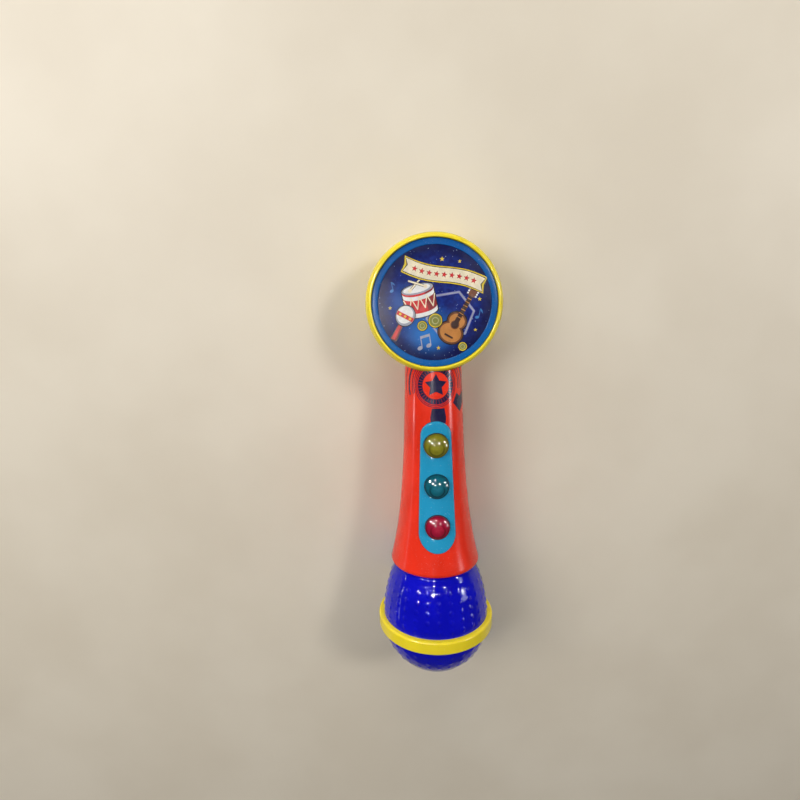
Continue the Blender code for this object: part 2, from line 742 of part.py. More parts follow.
def disc_rear_housing():
    """Rear half of the disc with the loudspeaker's grille and its locating rib."""
    floor = DISC_REAR + DISC_WALL
    inside = DISC_RADIUS - DISC_WALL
    rib_inner, rib_outer, rib_height = SPEAKER_RIB
    profile = [(0.0, floor), (rib_inner, floor), (rib_inner, floor + rib_height),
               (rib_outer, floor + rib_height), (rib_outer, floor), (29.0, floor),
               (inside, DISC_SIDE_BOTTOM - 1.0), (inside, -GAP / 2.0), (DISC_RADIUS, -GAP / 2.0)]
    profile += disc_back_side() + [(0.0, DISC_REAR)]
    housing = lathe("disc_rear_housing", profile, "Z", yellow_plastic())
    for angle in DISC_SCREW_ANGLES:
        spot = disc_screw_spot(angle)
        fuse(housing, place(cylinder("post", 3.4, floor - 1.0, -GAP, None, 12), spot))
        recess_end = DISC_SCREW_HEAD_Z + GAP
        cut(housing, place(cylinder("hole", SCREW_PASSAGE_RADIUS, DISC_REAR - 2.0, 1.0, None, 8), spot),
            place(cylinder("recess", SCREW_RECESS_RADIUS, DISC_REAR - 2.0, recess_end, None, 12), spot))
    for ring_radius, count in GRILLE_RINGS:
        for number in range(count):
            turn = math.tau * number / count
            spot = (ring_radius * math.cos(turn), ring_radius * math.sin(turn), 0.0)
            cut(housing, place(cylinder("grille", GRILLE_HOLE, DISC_REAR - 2.0, floor + 1.0, None, 6), spot))
    cut(housing, neck_opening())
    return housing


def disc_screw_spot(angle):
    turn = math.radians(angle)
    return (DISC_SCREW_CIRCLE * math.cos(turn), DISC_SCREW_CIRCLE * math.sin(turn), 0.0)


def neck_opening():
    """The round opening in the disc's wall that the handle's neck passes through."""
    opening = cylinder("neck_opening", NECK_RADIUS + GAP, 25.0, 45.0, None, 40)
    return place(opening, (0.0, 0.0, 0.0), (90.0, 0.0, 0.0))


def disc_face_plate():
    """The flat blue ring round the picture, with the seat that the picture lies in."""
    outer = WINDOW_RADIUS - GAP
    seat = PICTURE_RADIUS + GAP
    bottom = LEDGE_Z + GAP
    profile = [(0.0, bottom), (outer, bottom), (outer, FACE_TOP - 0.2), (outer - 0.2, FACE_TOP),
               (seat + 0.15, FACE_TOP), (seat, FACE_TOP - 0.15), (seat, PICTURE_SEAT_Z), (0.0, PICTURE_SEAT_Z)]
    return lathe("disc_face_plate", profile, "Z", material("mid_blue_plastic", (0.01, 0.13, 0.38), 0.3))


def disc_picture():
    profile = [(0.0, PICTURE_BOTTOM), (PICTURE_RADIUS, PICTURE_BOTTOM), (PICTURE_RADIUS, PICTURE_TOP),
               (0.0, PICTURE_TOP)]
    return lathe("disc_picture", profile, "Z", material("picture_print", (0.02, 0.05, 0.3), 0.3))


def speaker():
    """Basket, cone and magnet of the small loudspeaker that faces the rear grille."""
    floor = DISC_REAR + DISC_WALL
    rear = floor + 0.5
    basket = [(20.0, rear), (20.0, rear + 1.0), (17.4, rear + 1.0), (9.0, -4.2), (3.0, -4.2), (3.0, -5.0),
              (8.6, -5.0), (16.9, rear + 0.5), (17.2, rear)]
    cone = [(0.0, rear + 1.1), (3.2, rear + 1.6), (4.2, rear + 2.4), (15.9, rear + 0.15), (16.6, rear + 0.15),
            (16.4, rear + 0.6), (15.9, rear + 0.6), (4.4, -6.0), (2.9, -5.6), (0.0, -5.6)]
    magnet = [(0.0, -3.8), (9.0, -3.8), (9.5, -3.3), (9.5, 2.2), (9.0, 2.7), (0.0, 2.7)]
    return (lathe("speaker_basket", basket, "Z", steel(), 24),
            lathe("speaker_cone", cone, "Z", material("black_paper", (0.03, 0.03, 0.03), 0.8), 24),
            lathe("speaker_magnet", magnet, "Z", material("dark_ferrite", (0.08, 0.08, 0.085), 0.5, 0.6), 20))


# ---------------------------------------------------------------- head

def dome_points(start, end, steps, offset=0.0):
    points = []
    for step in range(steps + 1):
        station = start + (end - start) * step / steps
        points.append((station, dome_radius(station, offset)))
    return points


def head_upper_dome():
    """Upper half of the ball: collar in the handle's mouth, shoulder, dome and spigot."""
    start = DOME_START + SHOULDER_RADIUS
    shoulder_top = dome_radius(start + 0.6)
    shoulder = arc((start, shoulder_top - SHOULDER_RADIUS), (SHOULDER_RADIUS,) * 2, 180.0, 100.0, 3)
    outer = dome_points(start + 1.6, RING_START - GAP, 6)
    inner = dome_points(start + 1.0, RING_START - GAP - 2.2, 4, -DOME_WALL)
    bore = COLLAR_RADIUS - DOME_WALL
    profile = [(COLLAR_START, bore), (COLLAR_START, COLLAR_RADIUS), (DOME_START, COLLAR_RADIUS)]
    profile += shoulder + outer
    spigot_outer, spigot_inner = UPPER_SPIGOT
    profile += [(RING_START - GAP, spigot_outer), (RING_END - 0.2, spigot_outer),
                (RING_END - 0.2, spigot_inner), (RING_START - GAP - 0.5, spigot_inner)]
    profile += inner[::-1] + [(start - 0.4, bore)]
    return lathe("head_upper_dome", along_handle(profile), "Y", blue_plastic(), HEAD_SEGMENTS)


def head_lower_dome():
    """Lower half of the ball with the spigot that enters the upper half."""
    start = RING_END + GAP
    outer = lower_dome_points(0.0, 84.0, 8)
    inner = lower_dome_points(72.0, 0.0, 5, -DOME_WALL)
    outer[0] = (outer[0][0], 0.0)
    inner[-1] = (inner[-1][0], 0.0)
    spigot_outer, spigot_inner = LOWER_SPIGOT
    profile = outer + [(start, DOME_RADIUS), (start, spigot_outer), (LOWER_SPIGOT_START, spigot_outer),
                       (LOWER_SPIGOT_START, spigot_inner), (inner[0][0], spigot_inner)] + inner
    return lathe("head_lower_dome", along_handle(profile), "Y", blue_plastic(), HEAD_SEGMENTS)


def head_ring():
    rounding = (RING_ROUNDING, RING_ROUNDING)
    low, high = RING_START + RING_ROUNDING, RING_END - RING_ROUNDING
    top = RING_RADIUS - RING_ROUNDING
    profile = [(RING_START, RING_BORE)] + arc((low, top), rounding, 180.0, 90.0, 3)
    profile += arc((high, top), rounding, 90.0, 0.0, 3) + [(RING_END, RING_BORE)]
    return lathe("head_ring", along_handle(profile), "Y", yellow_plastic(), HEAD_SEGMENTS)


def head_lights():
    """The round lamp board in the head's collar and its three lamps."""
    bore = COLLAR_RADIUS - DOME_WALL
    board_start, board_end = LAMP_BOARD
    plate = [(board_start, 0.0), (board_start, bore - GAP), (board_end, bore - GAP), (board_end, 0.0)]
    foot, shoulder, rounding, tip = LAMP_STATIONS
    pieces = [lathe("head_led_board", along_handle(plate), "Y", board_green(), 28)]
    colours = (("red", (0.8, 0.05, 0.04)), ("green", (0.05, 0.7, 0.12)), ("white", (0.85, 0.86, 0.9)))
    for number, (word, colour) in enumerate(colours):
        turn = math.tau * number / len(colours) + math.pi / 2.0
        stem = [(foot, 0.0), (foot, LAMP_FLANGE_RADIUS), (shoulder, LAMP_FLANGE_RADIUS),
                (shoulder, LAMP_RADIUS), (rounding, LAMP_RADIUS)]
        dome = arc((0.0, rounding), (LAMP_RADIUS, tip - rounding), 25.0, 90.0, 3)
        profile = along_handle(stem) + [(radius, -station) for radius, station in dome]
        profile[-1] = (0.0, -tip)
        lamp = lathe(f"head_led_{word}", profile, "Y", material(f"lamp_{word}", colour, 0.1), 12)
        pieces.append(place(lamp, (LAMP_CIRCLE * math.cos(turn), 0.0, LAMP_CIRCLE * math.sin(turn))))
    return pieces


# ---------------------------------------------------------------- wires

def smooth_path(points, steps=3):
    """A Catmull-Rom curve through the points."""
    path = [Vector(points[0])] + [Vector(point) for point in points] + [Vector(points[-1])]
    result = []
    for index in range(1, len(path) - 2):
        before, start, end, after = path[index - 1:index + 3]
        for step in range(steps):
            t = step / steps
            result.append(0.5 * (2.0 * start + (end - before) * t
                                 + (2.0 * before - 5.0 * start + 4.0 * end - after) * t ** 2
                                 + (3.0 * start - before - 3.0 * end + after) * t ** 3))
    result.append(path[-1])
    return result


def wires():
    """Pairs of wires: board to loudspeaker, board to cell contacts, board to head lamps."""
    made = []
    for side, word, colour in ((-1, "red", (0.6, 0.02, 0.02)), (1, "black", (0.02, 0.02, 0.02))):
        look = material(f"{word}_wire", colour, 0.45)
        to_speaker = [(3.5 * side, -65.0, 3.9), (3.0 * side, -56.0, 2.0), (2.2 * side, -44.0, 0.0),
                      (2.2 * side, -32.0, 0.5), (4.0 * side, -23.5, 0.0), (5.0 * side, -15.5, -4.0)]
        to_cell = [(CELL_X * side, -68.5, -3.6), (CELL_X * side, -65.6, -3.4),
                   (CELL_X * side, -64.4, -0.5), (CELL_X * side, -67.0, 4.0)]
        to_head = [(3.0 * side, -117.0, 8.6), (3.2 * side, -122.0, 6.6), (3.4 * side, -129.0, 4.4),
                   (3.0 * side, -135.2, 3.8)]
        made.append(tube(f"speaker_wire_{word}", smooth_path(to_speaker), 0.55, look))
        made.append(tube(f"battery_wire_{word}", smooth_path(to_cell), 0.5, look))
        made.append(tube(f"head_wire_{word}", smooth_path(to_head), 0.5, look))
    return made


# ---------------------------------------------------------------- assembly

def resting_frame():
    """An empty that lays the microphone on the plane z = 0.

    The plane touches two round edges: the rear edge of the disc and the near edge of the
    head's ring. The root leans by the slope of the common tangent of the two edge sections.
    """
    edge_centre = Vector((DISC_RADIUS - REAR_ROUNDING, DISC_SIDE_BOTTOM))
    edge_radii = Vector((REAR_ROUNDING, DISC_SIDE_BOTTOM - DISC_REAR))
    ring_centre = Vector((-(RING_START + RING_ROUNDING), -(RING_RADIUS - RING_ROUNDING)))
    low, high = 0.0, math.radians(20.0)
    for _ in range(40):
        slope = (low + high) / 2.0
        down = Vector((math.sin(slope), -math.cos(slope)))
        edge_reach = down.dot(edge_centre) + (down * edge_radii).length
        ring_reach = down.dot(ring_centre) + RING_ROUNDING
        if ring_reach > edge_reach:
            low = slope
        else:
            high = slope
    far_end = DISC_RADIUS * math.cos(slope) + DISC_SIDE_TOP * math.sin(slope)
    near_end = (EQUATOR + DOME_LOWER_LENGTH) * math.cos(slope)
    middle = (far_end - near_end) / 2.0
    root = bpy.data.objects.new("microphone_root", None)
    bpy.context.scene.collection.objects.link(root)
    place(root, (0.0, -middle, edge_reach), (-math.degrees(slope), 0.0, 0.0))
    return root


def build():
    for obj in list(bpy.data.objects):
        bpy.data.objects.remove(obj, do_unlink=True)
    pieces = []

    body = handle_body()
    pieces += [handle_front_shell(body), handle_rear_shell(body), battery_door(), button_panel()]
    bpy.data.objects.remove(body, do_unlink=True)

    keypad_pieces = [main_board(), sound_chip()]
    clear = ((0.42, 0.42, 0.03), (0.01, 0.2, 0.25), (0.5, 0.01, 0.06))
    for index in range(3):
        along, height = button_height(index)
        keypad_pieces.append(place(button_cap(index, clear), (0.0, along, height)))
        keypad_pieces.append(place(tact_switch(index + 1), (0.0, along, 0.0)))
        keypad_pieces.append(place(chip_led(index + 1), (0.0, along, 0.0)))
    for number, along in enumerate(BOARD_SCREW_OFFSETS, 1):
        fastener = screw(f"board_screw_{number}", 2.0, 1.1, 0.85, 5.5)
        under = BOARD_TOP - BOARD_THICKNESS - GAP
        keypad_pieces.append(place(fastener, (0.0, along, under)))

    pieces += [battery_tray(),
               cell("battery_1", -CELL_X, 69.6, 114.1),
               cell("battery_2", CELL_X, 117.2, 72.7),
               contact_spring("battery_spring_1", -CELL_X, 117.0, 114.7),
               contact_spring("battery_spring_2", CELL_X, 69.8, 72.1),
               contact_plate("battery_contact_bridge", -10.2, 10.2, 117.5),
               contact_plate("battery_contact_plus", -10.2, -1.0, 68.8),
               contact_plate("battery_contact_minus", 1.0, 10.2, 68.8)]
    pieces += power_switch()
    pieces += [disc_front_housing(), disc_rear_housing(), disc_face_plate(), disc_picture()]
    pieces += speaker()
    pieces += [head_upper_dome(), head_lower_dome(), head_ring()]
    pieces += head_lights()
    pieces += wires()

    for number, angle in enumerate(DISC_SCREW_ANGLES, 1):
        x, y, _ = disc_screw_spot(angle)
        pieces.append(place(screw(f"disc_screw_{number}", 2.1, 1.5, 1.15, 13.5), (x, y, DISC_SCREW_HEAD_Z)))
    for number, (x, station) in enumerate(HANDLE_SCREWS, 1):
        fastener = screw(f"handle_screw_{number}", 2.1, 1.5, 1.15, 19.5)
        pieces.append(place(fastener, (x, -station, HANDLE_SCREW_HEAD_Z)))
    fastener = screw("battery_door_screw", 2.2, 1.4, 1.15, 11.5)
    pieces.append(place(fastener, (0.0, -DOOR_SCREW_STATION, DOOR_SCREW_HEAD_Z)))

    root = resting_frame()
    keypad = bpy.data.objects.new("keypad_frame", None)
    bpy.context.scene.collection.objects.link(keypad)
    place(keypad, keypad_place(0.0, 0.0), (-keypad_tilt(), 0.0, 0.0), root)
    for piece in keypad_pieces:
        piece.parent = keypad
    for piece in pieces:
        piece.parent = root


build()
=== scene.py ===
"""Looks of the toy microphone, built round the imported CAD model.

Shapes are written in millimetres of the microphone's own frame, as in the CAD: +Y runs along the
axis to the round disc, +Z to the button side, and a station is the distance from the disc's centre
towards the ball head. MICROPHONE turns that frame into the row frame in metres.
"""

import json
import math

import bmesh
import bpy
import numpy as np
from mathutils import Matrix, Vector
from mathutils.geometry import delaunay_2d_cdt

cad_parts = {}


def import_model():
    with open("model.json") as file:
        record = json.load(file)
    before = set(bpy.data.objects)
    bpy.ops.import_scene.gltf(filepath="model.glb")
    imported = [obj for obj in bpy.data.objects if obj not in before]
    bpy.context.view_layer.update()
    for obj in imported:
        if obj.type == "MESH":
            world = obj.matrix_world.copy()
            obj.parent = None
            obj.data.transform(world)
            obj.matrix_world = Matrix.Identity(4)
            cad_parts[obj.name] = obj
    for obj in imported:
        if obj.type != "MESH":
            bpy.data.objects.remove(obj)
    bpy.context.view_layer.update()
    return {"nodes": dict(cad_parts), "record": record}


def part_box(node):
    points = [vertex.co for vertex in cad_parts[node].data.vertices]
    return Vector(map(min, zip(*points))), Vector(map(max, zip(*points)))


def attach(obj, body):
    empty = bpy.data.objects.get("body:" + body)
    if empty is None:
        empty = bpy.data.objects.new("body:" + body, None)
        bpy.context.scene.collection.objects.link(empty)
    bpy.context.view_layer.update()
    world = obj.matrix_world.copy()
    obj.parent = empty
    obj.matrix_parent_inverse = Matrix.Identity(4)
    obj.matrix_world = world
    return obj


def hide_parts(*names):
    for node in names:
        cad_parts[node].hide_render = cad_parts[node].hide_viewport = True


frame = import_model()

MM = 0.001
ROOT_BODY = "microphone"
ROUND_STEPS = 160
WELL_STEPS = 32
INNER_SPACING = 2.6
CRISP_ANGLE = 40.0

# Disc.
DISC_RADIUS = 33.9
DISC_FRONT = 16.5
DISC_REAR = -15.2
DISC_WALL = 2.0
DISC_SIDE_TOP = 8.5
DISC_SIDE_BOTTOM = -6.0
RIM_WIDTH = 2.6
REAR_ROUNDING = 4.0
WINDOW_RADIUS = 30.7
WINDOW_ROUNDING = 0.45
LEDGE_Z = 13.0
LEDGE_RADIUS = 27.0
LEDGE_WALL = 1.6
FACE_TOP = 15.1
PICTURE_RADIUS = 27.4
PICTURE_BOTTOM = 14.4
PICTURE_TOP = 14.9
PLATE_SEAT = 14.3
FLOOR_RADIUS = 29.0
GRILLE_RINGS = ((9.0, 8), (15.0, 12))
GRILLE_HOLE = 1.3
GRILLE_BEVEL = 0.25
DISC_SCREW_CIRCLE = 27.3
DISC_SCREW_ANGLES = (90.0, 210.0, 330.0)
DISC_SCREW_HEAD_Z = -6.3

# Wells of the back screws: the radii of recess, passage and post, and the ends of the posts.
HANDLE_WELL = (2.5, 1.5, 3.0)
DOOR_WELL = (2.6, 1.5, 3.6)
DISC_WELL = (2.5, 1.5, 3.4)
HEAD_GAP = 0.3
POST_TIP = -0.3
DOOR_BOSS_TIP = -17.5

# Handle.
FLARE_START = 30.0
FLARE_END = 137.6
GRIP_RADIUS = 14.6
GRIP_TAPER = 3.6
FLARE = 6.0
LIP_ROUNDING = 2.0
HANDLE_WALL = 1.8
MOUTH_RADIUS = 20.4
MOUTH_START = 133.5
HANDLE_SCREWS = ((-9.0, 130.5), (9.0, 130.5))
HANDLE_SCREW_HEAD_Z = -12.3
OUTER_PATCH_END = 134.5
INNER_PATCH_END = 131.5
PARTING_ANGLE = 0.006
SEAM = 0.12
HALF_SEAM = 0.1

# Button panel and buttons.
PANEL_ENDS = ((66.0, 7.9), (116.9, 9.6))
PANEL_HEIGHT = 1.1
PANEL_POCKET = 0.6
PANEL_BOTTOM = -0.3
PANEL_ROUNDING = 0.95
BUTTON_STATIONS = (70.3, 91.45, 112.6)
BUTTON_COLOURS = ("yellow", "teal", "red")
BUTTON_RADIUS = 6.3
BUTTON_BORE = 6.5
CAP_ROUND = 10.0
CAP_TOP = 2.9
CAP_EDGE = 0.3
CAP_EDGE_ANGLE = 51.8
CAP_EDGE_DROP = 0.236
CAP_BORE = 4.9
CAP_HOLLOW = -0.6
CAP_POST = 1.5
SWITCH_DEPTH = -5.0
FLANGE_RADIUS = 7.2
FLANGE_TOP = -5.6
FLANGE_BOTTOM = -6.4

# Ball head.
COLLAR_RADIUS = 20.0
COLLAR_START = 134.0
DOME_START = 139.95
SHOULDER_RADIUS = 2.4
EQUATOR = 176.0
DOME_RADIUS = 29.4
DOME_UPPER_LENGTH = 52.0
DOME_LOWER_LENGTH = 29.0
DOME_LOWER_POWER = 1.85
DOME_WALL = 1.8
RING_START = 170.7
RING_END = 177.1
RING_RADIUS = 32.0
RING_BORE = 27.9
RING_TOP_ROUNDING = (1.2, 1.4)
RING_BOTTOM_ROUNDING = 0.9
UPPER_SPIGOT = (27.6, 25.8)
LOWER_SPIGOT = (25.5, 23.7)
LOWER_SPIGOT_START = 171.5
STUD_COLUMNS = 28
STUD_RADIUS = 1.4
STUD_HEIGHT = 0.3
STUD_ROWS = (148.0, 152.7, 157.4, 162.1, 166.8, 181.9, 186.6, 191.3)

# Battery door and power switch on the back.
DOOR_ENDS = (65.0, 125.8)
DOOR_HALF_WIDTH = 11.0
DOOR_CORNER = 3.0
DOOR_SCREW_STATION = 122.0
DOOR_SCREW_HEAD_Z = -19.3
THUMB_BARS = 5
THUMB_BAR_START = 72.0
THUMB_BAR_PITCH = 2.4
THUMB_BAR_HALF_LENGTH = 5.0
THUMB_BAR_HALF_WIDTH = 0.61
POWER_STATION = 50.0
POWER_TRAVEL = 4.0
SLOT_HALF_WIDTH = 2.3


def microphone_frame():
    """Matrix from the microphone's frame in millimetres to the row frame in metres."""
    mount = next(row for row in frame["record"]["mounts"] if row["name"] == "disc_back")
    up = -Vector(mount["axis"]).normalized()
    right = Vector((1.0, 0.0, 0.0))
    along = up.cross(right)
    origin = Vector(mount["pos_m"]) - up * DISC_REAR * MM
    turn = Matrix((right, along, up)).transposed().to_4x4()
    return Matrix.Translation(origin) @ turn @ Matrix.Scale(MM, 4)


MICROPHONE = microphone_frame()


# ---- shapes of the CAD

def handle_radius(station):
    share = (station - FLARE_START) / (FLARE_END - FLARE_START)
    return GRIP_RADIUS + GRIP_TAPER * share + FLARE * share ** 4


def disc_side_radius(z):
    """Outer radius of the disc at a height."""
    if z > DISC_SIDE_TOP:
        share = (z - DISC_SIDE_TOP) / (DISC_FRONT - DISC_SIDE_TOP)
        return DISC_RADIUS - RIM_WIDTH + RIM_WIDTH * math.sqrt(1.0 - share * share)
    if z < DISC_SIDE_BOTTOM:
        share = (DISC_SIDE_BOTTOM - z) / (DISC_SIDE_BOTTOM - DISC_REAR)
        return DISC_RADIUS - REAR_ROUNDING + REAR_ROUNDING * math.sqrt(1.0 - share * share)
    return DISC_RADIUS


def dome_radius(station, offset=0.0):
    share = (station - EQUATOR) / (DOME_UPPER_LENGTH + offset)
    return (DOME_RADIUS + offset) * math.sqrt(1.0 - share * share)


def lower_dome_points(first, last, steps, offset=0.0):
    """Stations and radii of the slightly pointed lower half, between two angles from the tip."""
    power = 2.0 / DOME_LOWER_POWER
    points = []
    for step in range(steps + 1):
        turn = math.radians(first + (last - first) * step / steps)
        station = EQUATOR + (DOME_LOWER_LENGTH + offset) * abs(math.cos(turn)) ** power
        points.append((station, (DOME_RADIUS + offset) * abs(math.sin(turn)) ** power))
    return points


def panel_top(station):
    return handle_radius(station) + PANEL_HEIGHT


def keypad_frame():
    """Matrix of the button plane's frame, in millimetres of the microphone's frame."""
    first, middle, last = BUTTON_STATIONS
    tilt = math.atan2(panel_top(last) - panel_top(first), last - first)
    centre = Vector((0.0, -middle, (panel_top(first) + panel_top(last)) / 2.0))
    return Matrix.Translation(centre) @ Matrix.Rotation(-tilt, 4, "X"), tilt


KEYPAD, KEYPAD_TILT = keypad_frame()


def button_spot(index):
    """Centre of a button on the panel's surface, in the button plane's frame."""
    along = (BUTTON_STATIONS[1] - BUTTON_STATIONS[index]) / math.cos(KEYPAD_TILT)
    chord = KEYPAD @ Vector((0.0, along, 0.0))
    return Vector((0.0, along, panel_top(-chord.y) - chord.z))


# ---- flat outlines

def arc(centre, radii, start, end, steps):
    """Points of an elliptical arc between two angles in degrees, both ends included."""
    turns = np.radians(np.linspace(start, end, steps + 1))
    return [(centre[0] + radii[0] * math.cos(t), centre[1] + radii[1] * math.sin(t)) for t in turns]


def circle(centre, radius, steps=48):
    return arc(centre, (radius, radius), 0.0, 360.0, steps)[:-1]


def capsule_outline(first, second, grow=0.0, steps=28, sides=36):
    """Outline round two circles given as (station, radius), as (x, station) points."""
    (station_a, radius_a), (station_b, radius_b) = first, second
    lean = math.degrees(math.asin((radius_b - radius_a) / (station_b - station_a)))
    end_b = arc((0.0, station_b), (radius_b + grow,) * 2, -lean, 180.0 + lean, steps)
    end_a = arc((0.0, station_a), (radius_a + grow,) * 2, 180.0 + lean, 360.0 - lean, steps)
    left = between(end_b[-1], end_a[0], sides)
    right = between(end_a[-1], end_b[0], sides)
    return end_b + left + end_a + right


def between(first, second, parts):
    """The points that part a line, without its ends."""
    shares = np.linspace(0.0, 1.0, parts + 1)[1:-1]
    return [(first[0] + (second[0] - first[0]) * t, first[1] + (second[1] - first[1]) * t)
            for t in shares]


def rounded_rectangle(half_width, station_a, station_b, corner, steps=8, parts=(16, 44)):
    """A rounded rectangle across the handle, as (x, station) points."""
    corners = ((1, station_b, 0), (-1, station_b, 90), (-1, station_a, 180), (1, station_a, 270))
    arcs = []
    for sign, station, start in corners:
        inward = -corner if station == station_b else corner
        arcs.append(arc((sign * (half_width - corner), station + inward), (corner, corner), start,
                        start + 90, steps))
    points = []
    for index, piece in enumerate(arcs):
        following = arcs[(index + 1) % 4]
        points += piece + between(piece[-1], following[0], parts[index % 2])
    return points


def inside(loop, points):
    """Which points lie inside a closed loop, by the even-odd rule."""
    loop = np.asarray(loop, float)
    following = np.roll(loop, -1, axis=0)
    x, y = points[:, 0:1], points[:, 1:2]
    crosses = (loop[:, 1] > y) != (following[:, 1] > y)
    rise = np.where(following[:, 1] == loop[:, 1], 1e-12, following[:, 1] - loop[:, 1])
    at = loop[:, 0] + (y - loop[:, 1]) * (following[:, 0] - loop[:, 0]) / rise
    return (crosses & (x < at)).sum(axis=1) % 2 == 1


def inner_points(outline, holes, spacing):
    """Staggered grid points inside an outline and outside its holes, clear of both."""
    low, high = np.min(outline, axis=0), np.max(outline, axis=0)
    rows = np.arange(low[1] + spacing / 2.0, high[1], spacing * 0.87)
    grid = []
    for number, v in enumerate(rows):
        start = low[0] + spacing * (0.25 + 0.5 * (number % 2))
        grid += [(u, v) for u in np.arange(start, high[0], spacing)]
    grid = np.array(grid)
    keep = inside(outline, grid)
    for hole in holes:
        keep &= ~inside(hole, grid)
    grid = grid[keep]
    border = np.concatenate([np.asarray(loop, float) for loop in (outline, *holes)])
    clear = [np.min(np.hypot(*(border - point).T)) > spacing * 0.5 for point in grid]
    return grid[np.array(clear, bool)] if len(grid) else grid


# ---- building surfaces

def linked(name, data):
    """A new object, put in the scene."""
    made = bpy.data.objects.new(name, data)
    bpy.context.scene.collection.objects.link(made)
    return made


class Skin:
    """A closed surface put together from strips and patches, in the microphone's millimetres."""

    def __init__(self):
        self.mesh = bmesh.new()

    def face(self, corners, mark=0):
        made = self.mesh.faces.new(corners)
        made.material_index = mark
        return made

    def strips(self, rings, closed=True):
        """Quads between successive rings that hold equally many points."""
        rows = [[self.mesh.verts.new(point) for point in ring] for ring in rings]
        for first, second in zip(rows, rows[1:]):
            count = len(first)
            for index in range(count if closed else count - 1):
                following = (index + 1) % count
                self.face((first[index], first[following], second[following], second[index]))

    def polygon(self, points):
        self.face([self.mesh.verts.new(point) for point in points])

    def patch(self, surface, outline, holes=(), spacing=1.3):
        """Triangles over a surface between an outline and its holes, given as (u, v) loops."""
        points, edges = [], []
        for loop in (outline, *holes):
            start = len(points)
            points += [Vector(point) for point in loop]
            edges += [(start + i, start + (i + 1) % len(loop)) for i in range(len(loop))]
        points += [Vector(point) for point in inner_points(outline, holes, spacing)]
        flat, _, faces, *_ = delaunay_2d_cdt(points, edges, [], 1, 1e-7)
        flat_points = np.array([tuple(point) for point in flat])
        centres = np.array([flat_points[face].mean(axis=0) for face in faces])
        keep = inside(outline, centres)
        for hole in holes:
            keep &= ~inside(hole, centres)
        verts = [self.mesh.verts.new(surface(*point)) for point in flat_points]
        for face, wanted in zip(faces, keep):
            if wanted:
                self.face([verts[i] for i in face])
        for vert in [vert for vert in verts if not vert.link_faces]:
            self.mesh.verts.remove(vert)

    def turned(self, profile, segments, axis="Z"):
        """A closed or pole-to-pole profile of (radius, height) points turned round an axis."""
        angles = np.linspace(0.0, math.tau, segments, endpoint=False)
        closed = profile[0][0] > 0.0 or profile[-1][0] > 0.0
        rings = []
        for radius, height in profile + ([profile[0]] if closed else []):
            if axis == "Z":
                rings.append([(radius * math.cos(a), radius * math.sin(a), height) for a in angles])
            else:
                rings.append([(radius * math.sin(a), height, radius * math.cos(a)) for a in angles])
        self.strips(rings)

    def done(self, name, slot, replaces=(), body=ROOT_BODY, angle=32.0, place=None, looks=None):
        """Merge, turn the faces outwards, and make the riding piece."""
        mesh = self.mesh
        bmesh.ops.remove_doubles(mesh, verts=mesh.verts, dist=0.002)
        bmesh.ops.dissolve_degenerate(mesh, edges=mesh.edges, dist=0.0005)
        bmesh.ops.recalc_face_normals(mesh, faces=mesh.faces)
        bmesh.ops.transform(mesh, matrix=MICROPHONE @ (place or Matrix.Identity(4)), verts=mesh.verts)
        data = bpy.data.meshes.new(name)
        mesh.to_mesh(data)
        mesh.free()
        for look in [LOOKS[slot]] if looks is None else looks:
            data.materials.append(look)
        data.shade_smooth()
        data.set_sharp_from_angle(angle=math.radians(angle))
        piece = linked(name, data)
        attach(piece, body)
        if replaces:
            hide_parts(*replaces)
        return piece


U_SCALE = 17.0


def handle_surface(side, height):
    """The handle's surface raised by a height, as a function of (u, station) on one half."""
    def at(u, station):
        radius = handle_radius(station) + height
        turn = u / U_SCALE
        return (radius * math.sin(turn), -station, side * radius * math.cos(turn))
    return at


def drop(side, height, base, direction=(0.0, 0.0, 1.0)):
    """(u, station) where a line through the base meets the handle's surface at a height."""
    reach = 0.0
    for _ in range(8):
        x = base[0] + direction[0] * reach
        y = base[1] + direction[1] * reach
        radius = handle_radius(-y) + height
        z = side * math.sqrt(max(radius * radius - x * x, 0.0))
        reach = (z - base[2]) / direction[2]
    return (math.asin(x / radius) * U_SCALE, -y)


def outline_on_handle(side, height, outline):
    """An (x, station) outline dropped on the handle's surface, as a (u, station) loop."""
    return [drop(side, height, (x, -station, 0.0)) for x, station in outline]


def bore_on_handle(index, height, radius, steps=72):
    """Where a button's round bore meets the handle's surface at a height."""
    spot = button_spot(index)
    direction = KEYPAD.to_3x3() @ Vector((0.0, 0.0, 1.0))
    loop = []
    for x, y in circle((0.0, spot.y), radius, steps):
        loop.append(drop(1, height, KEYPAD @ Vector((x, y, 0.0)), direction))
    return loop


def on_handle(side, heights, loops):
    """(u, station) loops put on the handle's surface, each at its own height."""
    return [[handle_surface(side, height)(*point) for point in loop]
            for height, loop in zip(heights, loops)]


def disc_cut(side, u, height):
    """Station at which the handle's surface at a height meets the disc's side."""
    station = DISC_RADIUS
    for _ in range(20):
        x, _, z = handle_surface(side, height)(u, station)
        station = math.sqrt((disc_side_radius(z) + SEAM) ** 2 - x * x)
    return station


# ---- materials

def srgb(red, green, blue):
    """A display colour as linear RGBA."""
    channels = []
    for value in (red, green, blue):
        share = value / 255.0
        channels.append(share / 12.92 if share <= 0.04045 else ((share + 0.055) / 1.055) ** 2.4)
    return (*channels, 1.0)


def shade(colour, factor, lift=0.0):
    """A lighter or darker colour."""
    return tuple(min(1.0, value * factor + lift) for value in colour[:3]) + (1.0,)


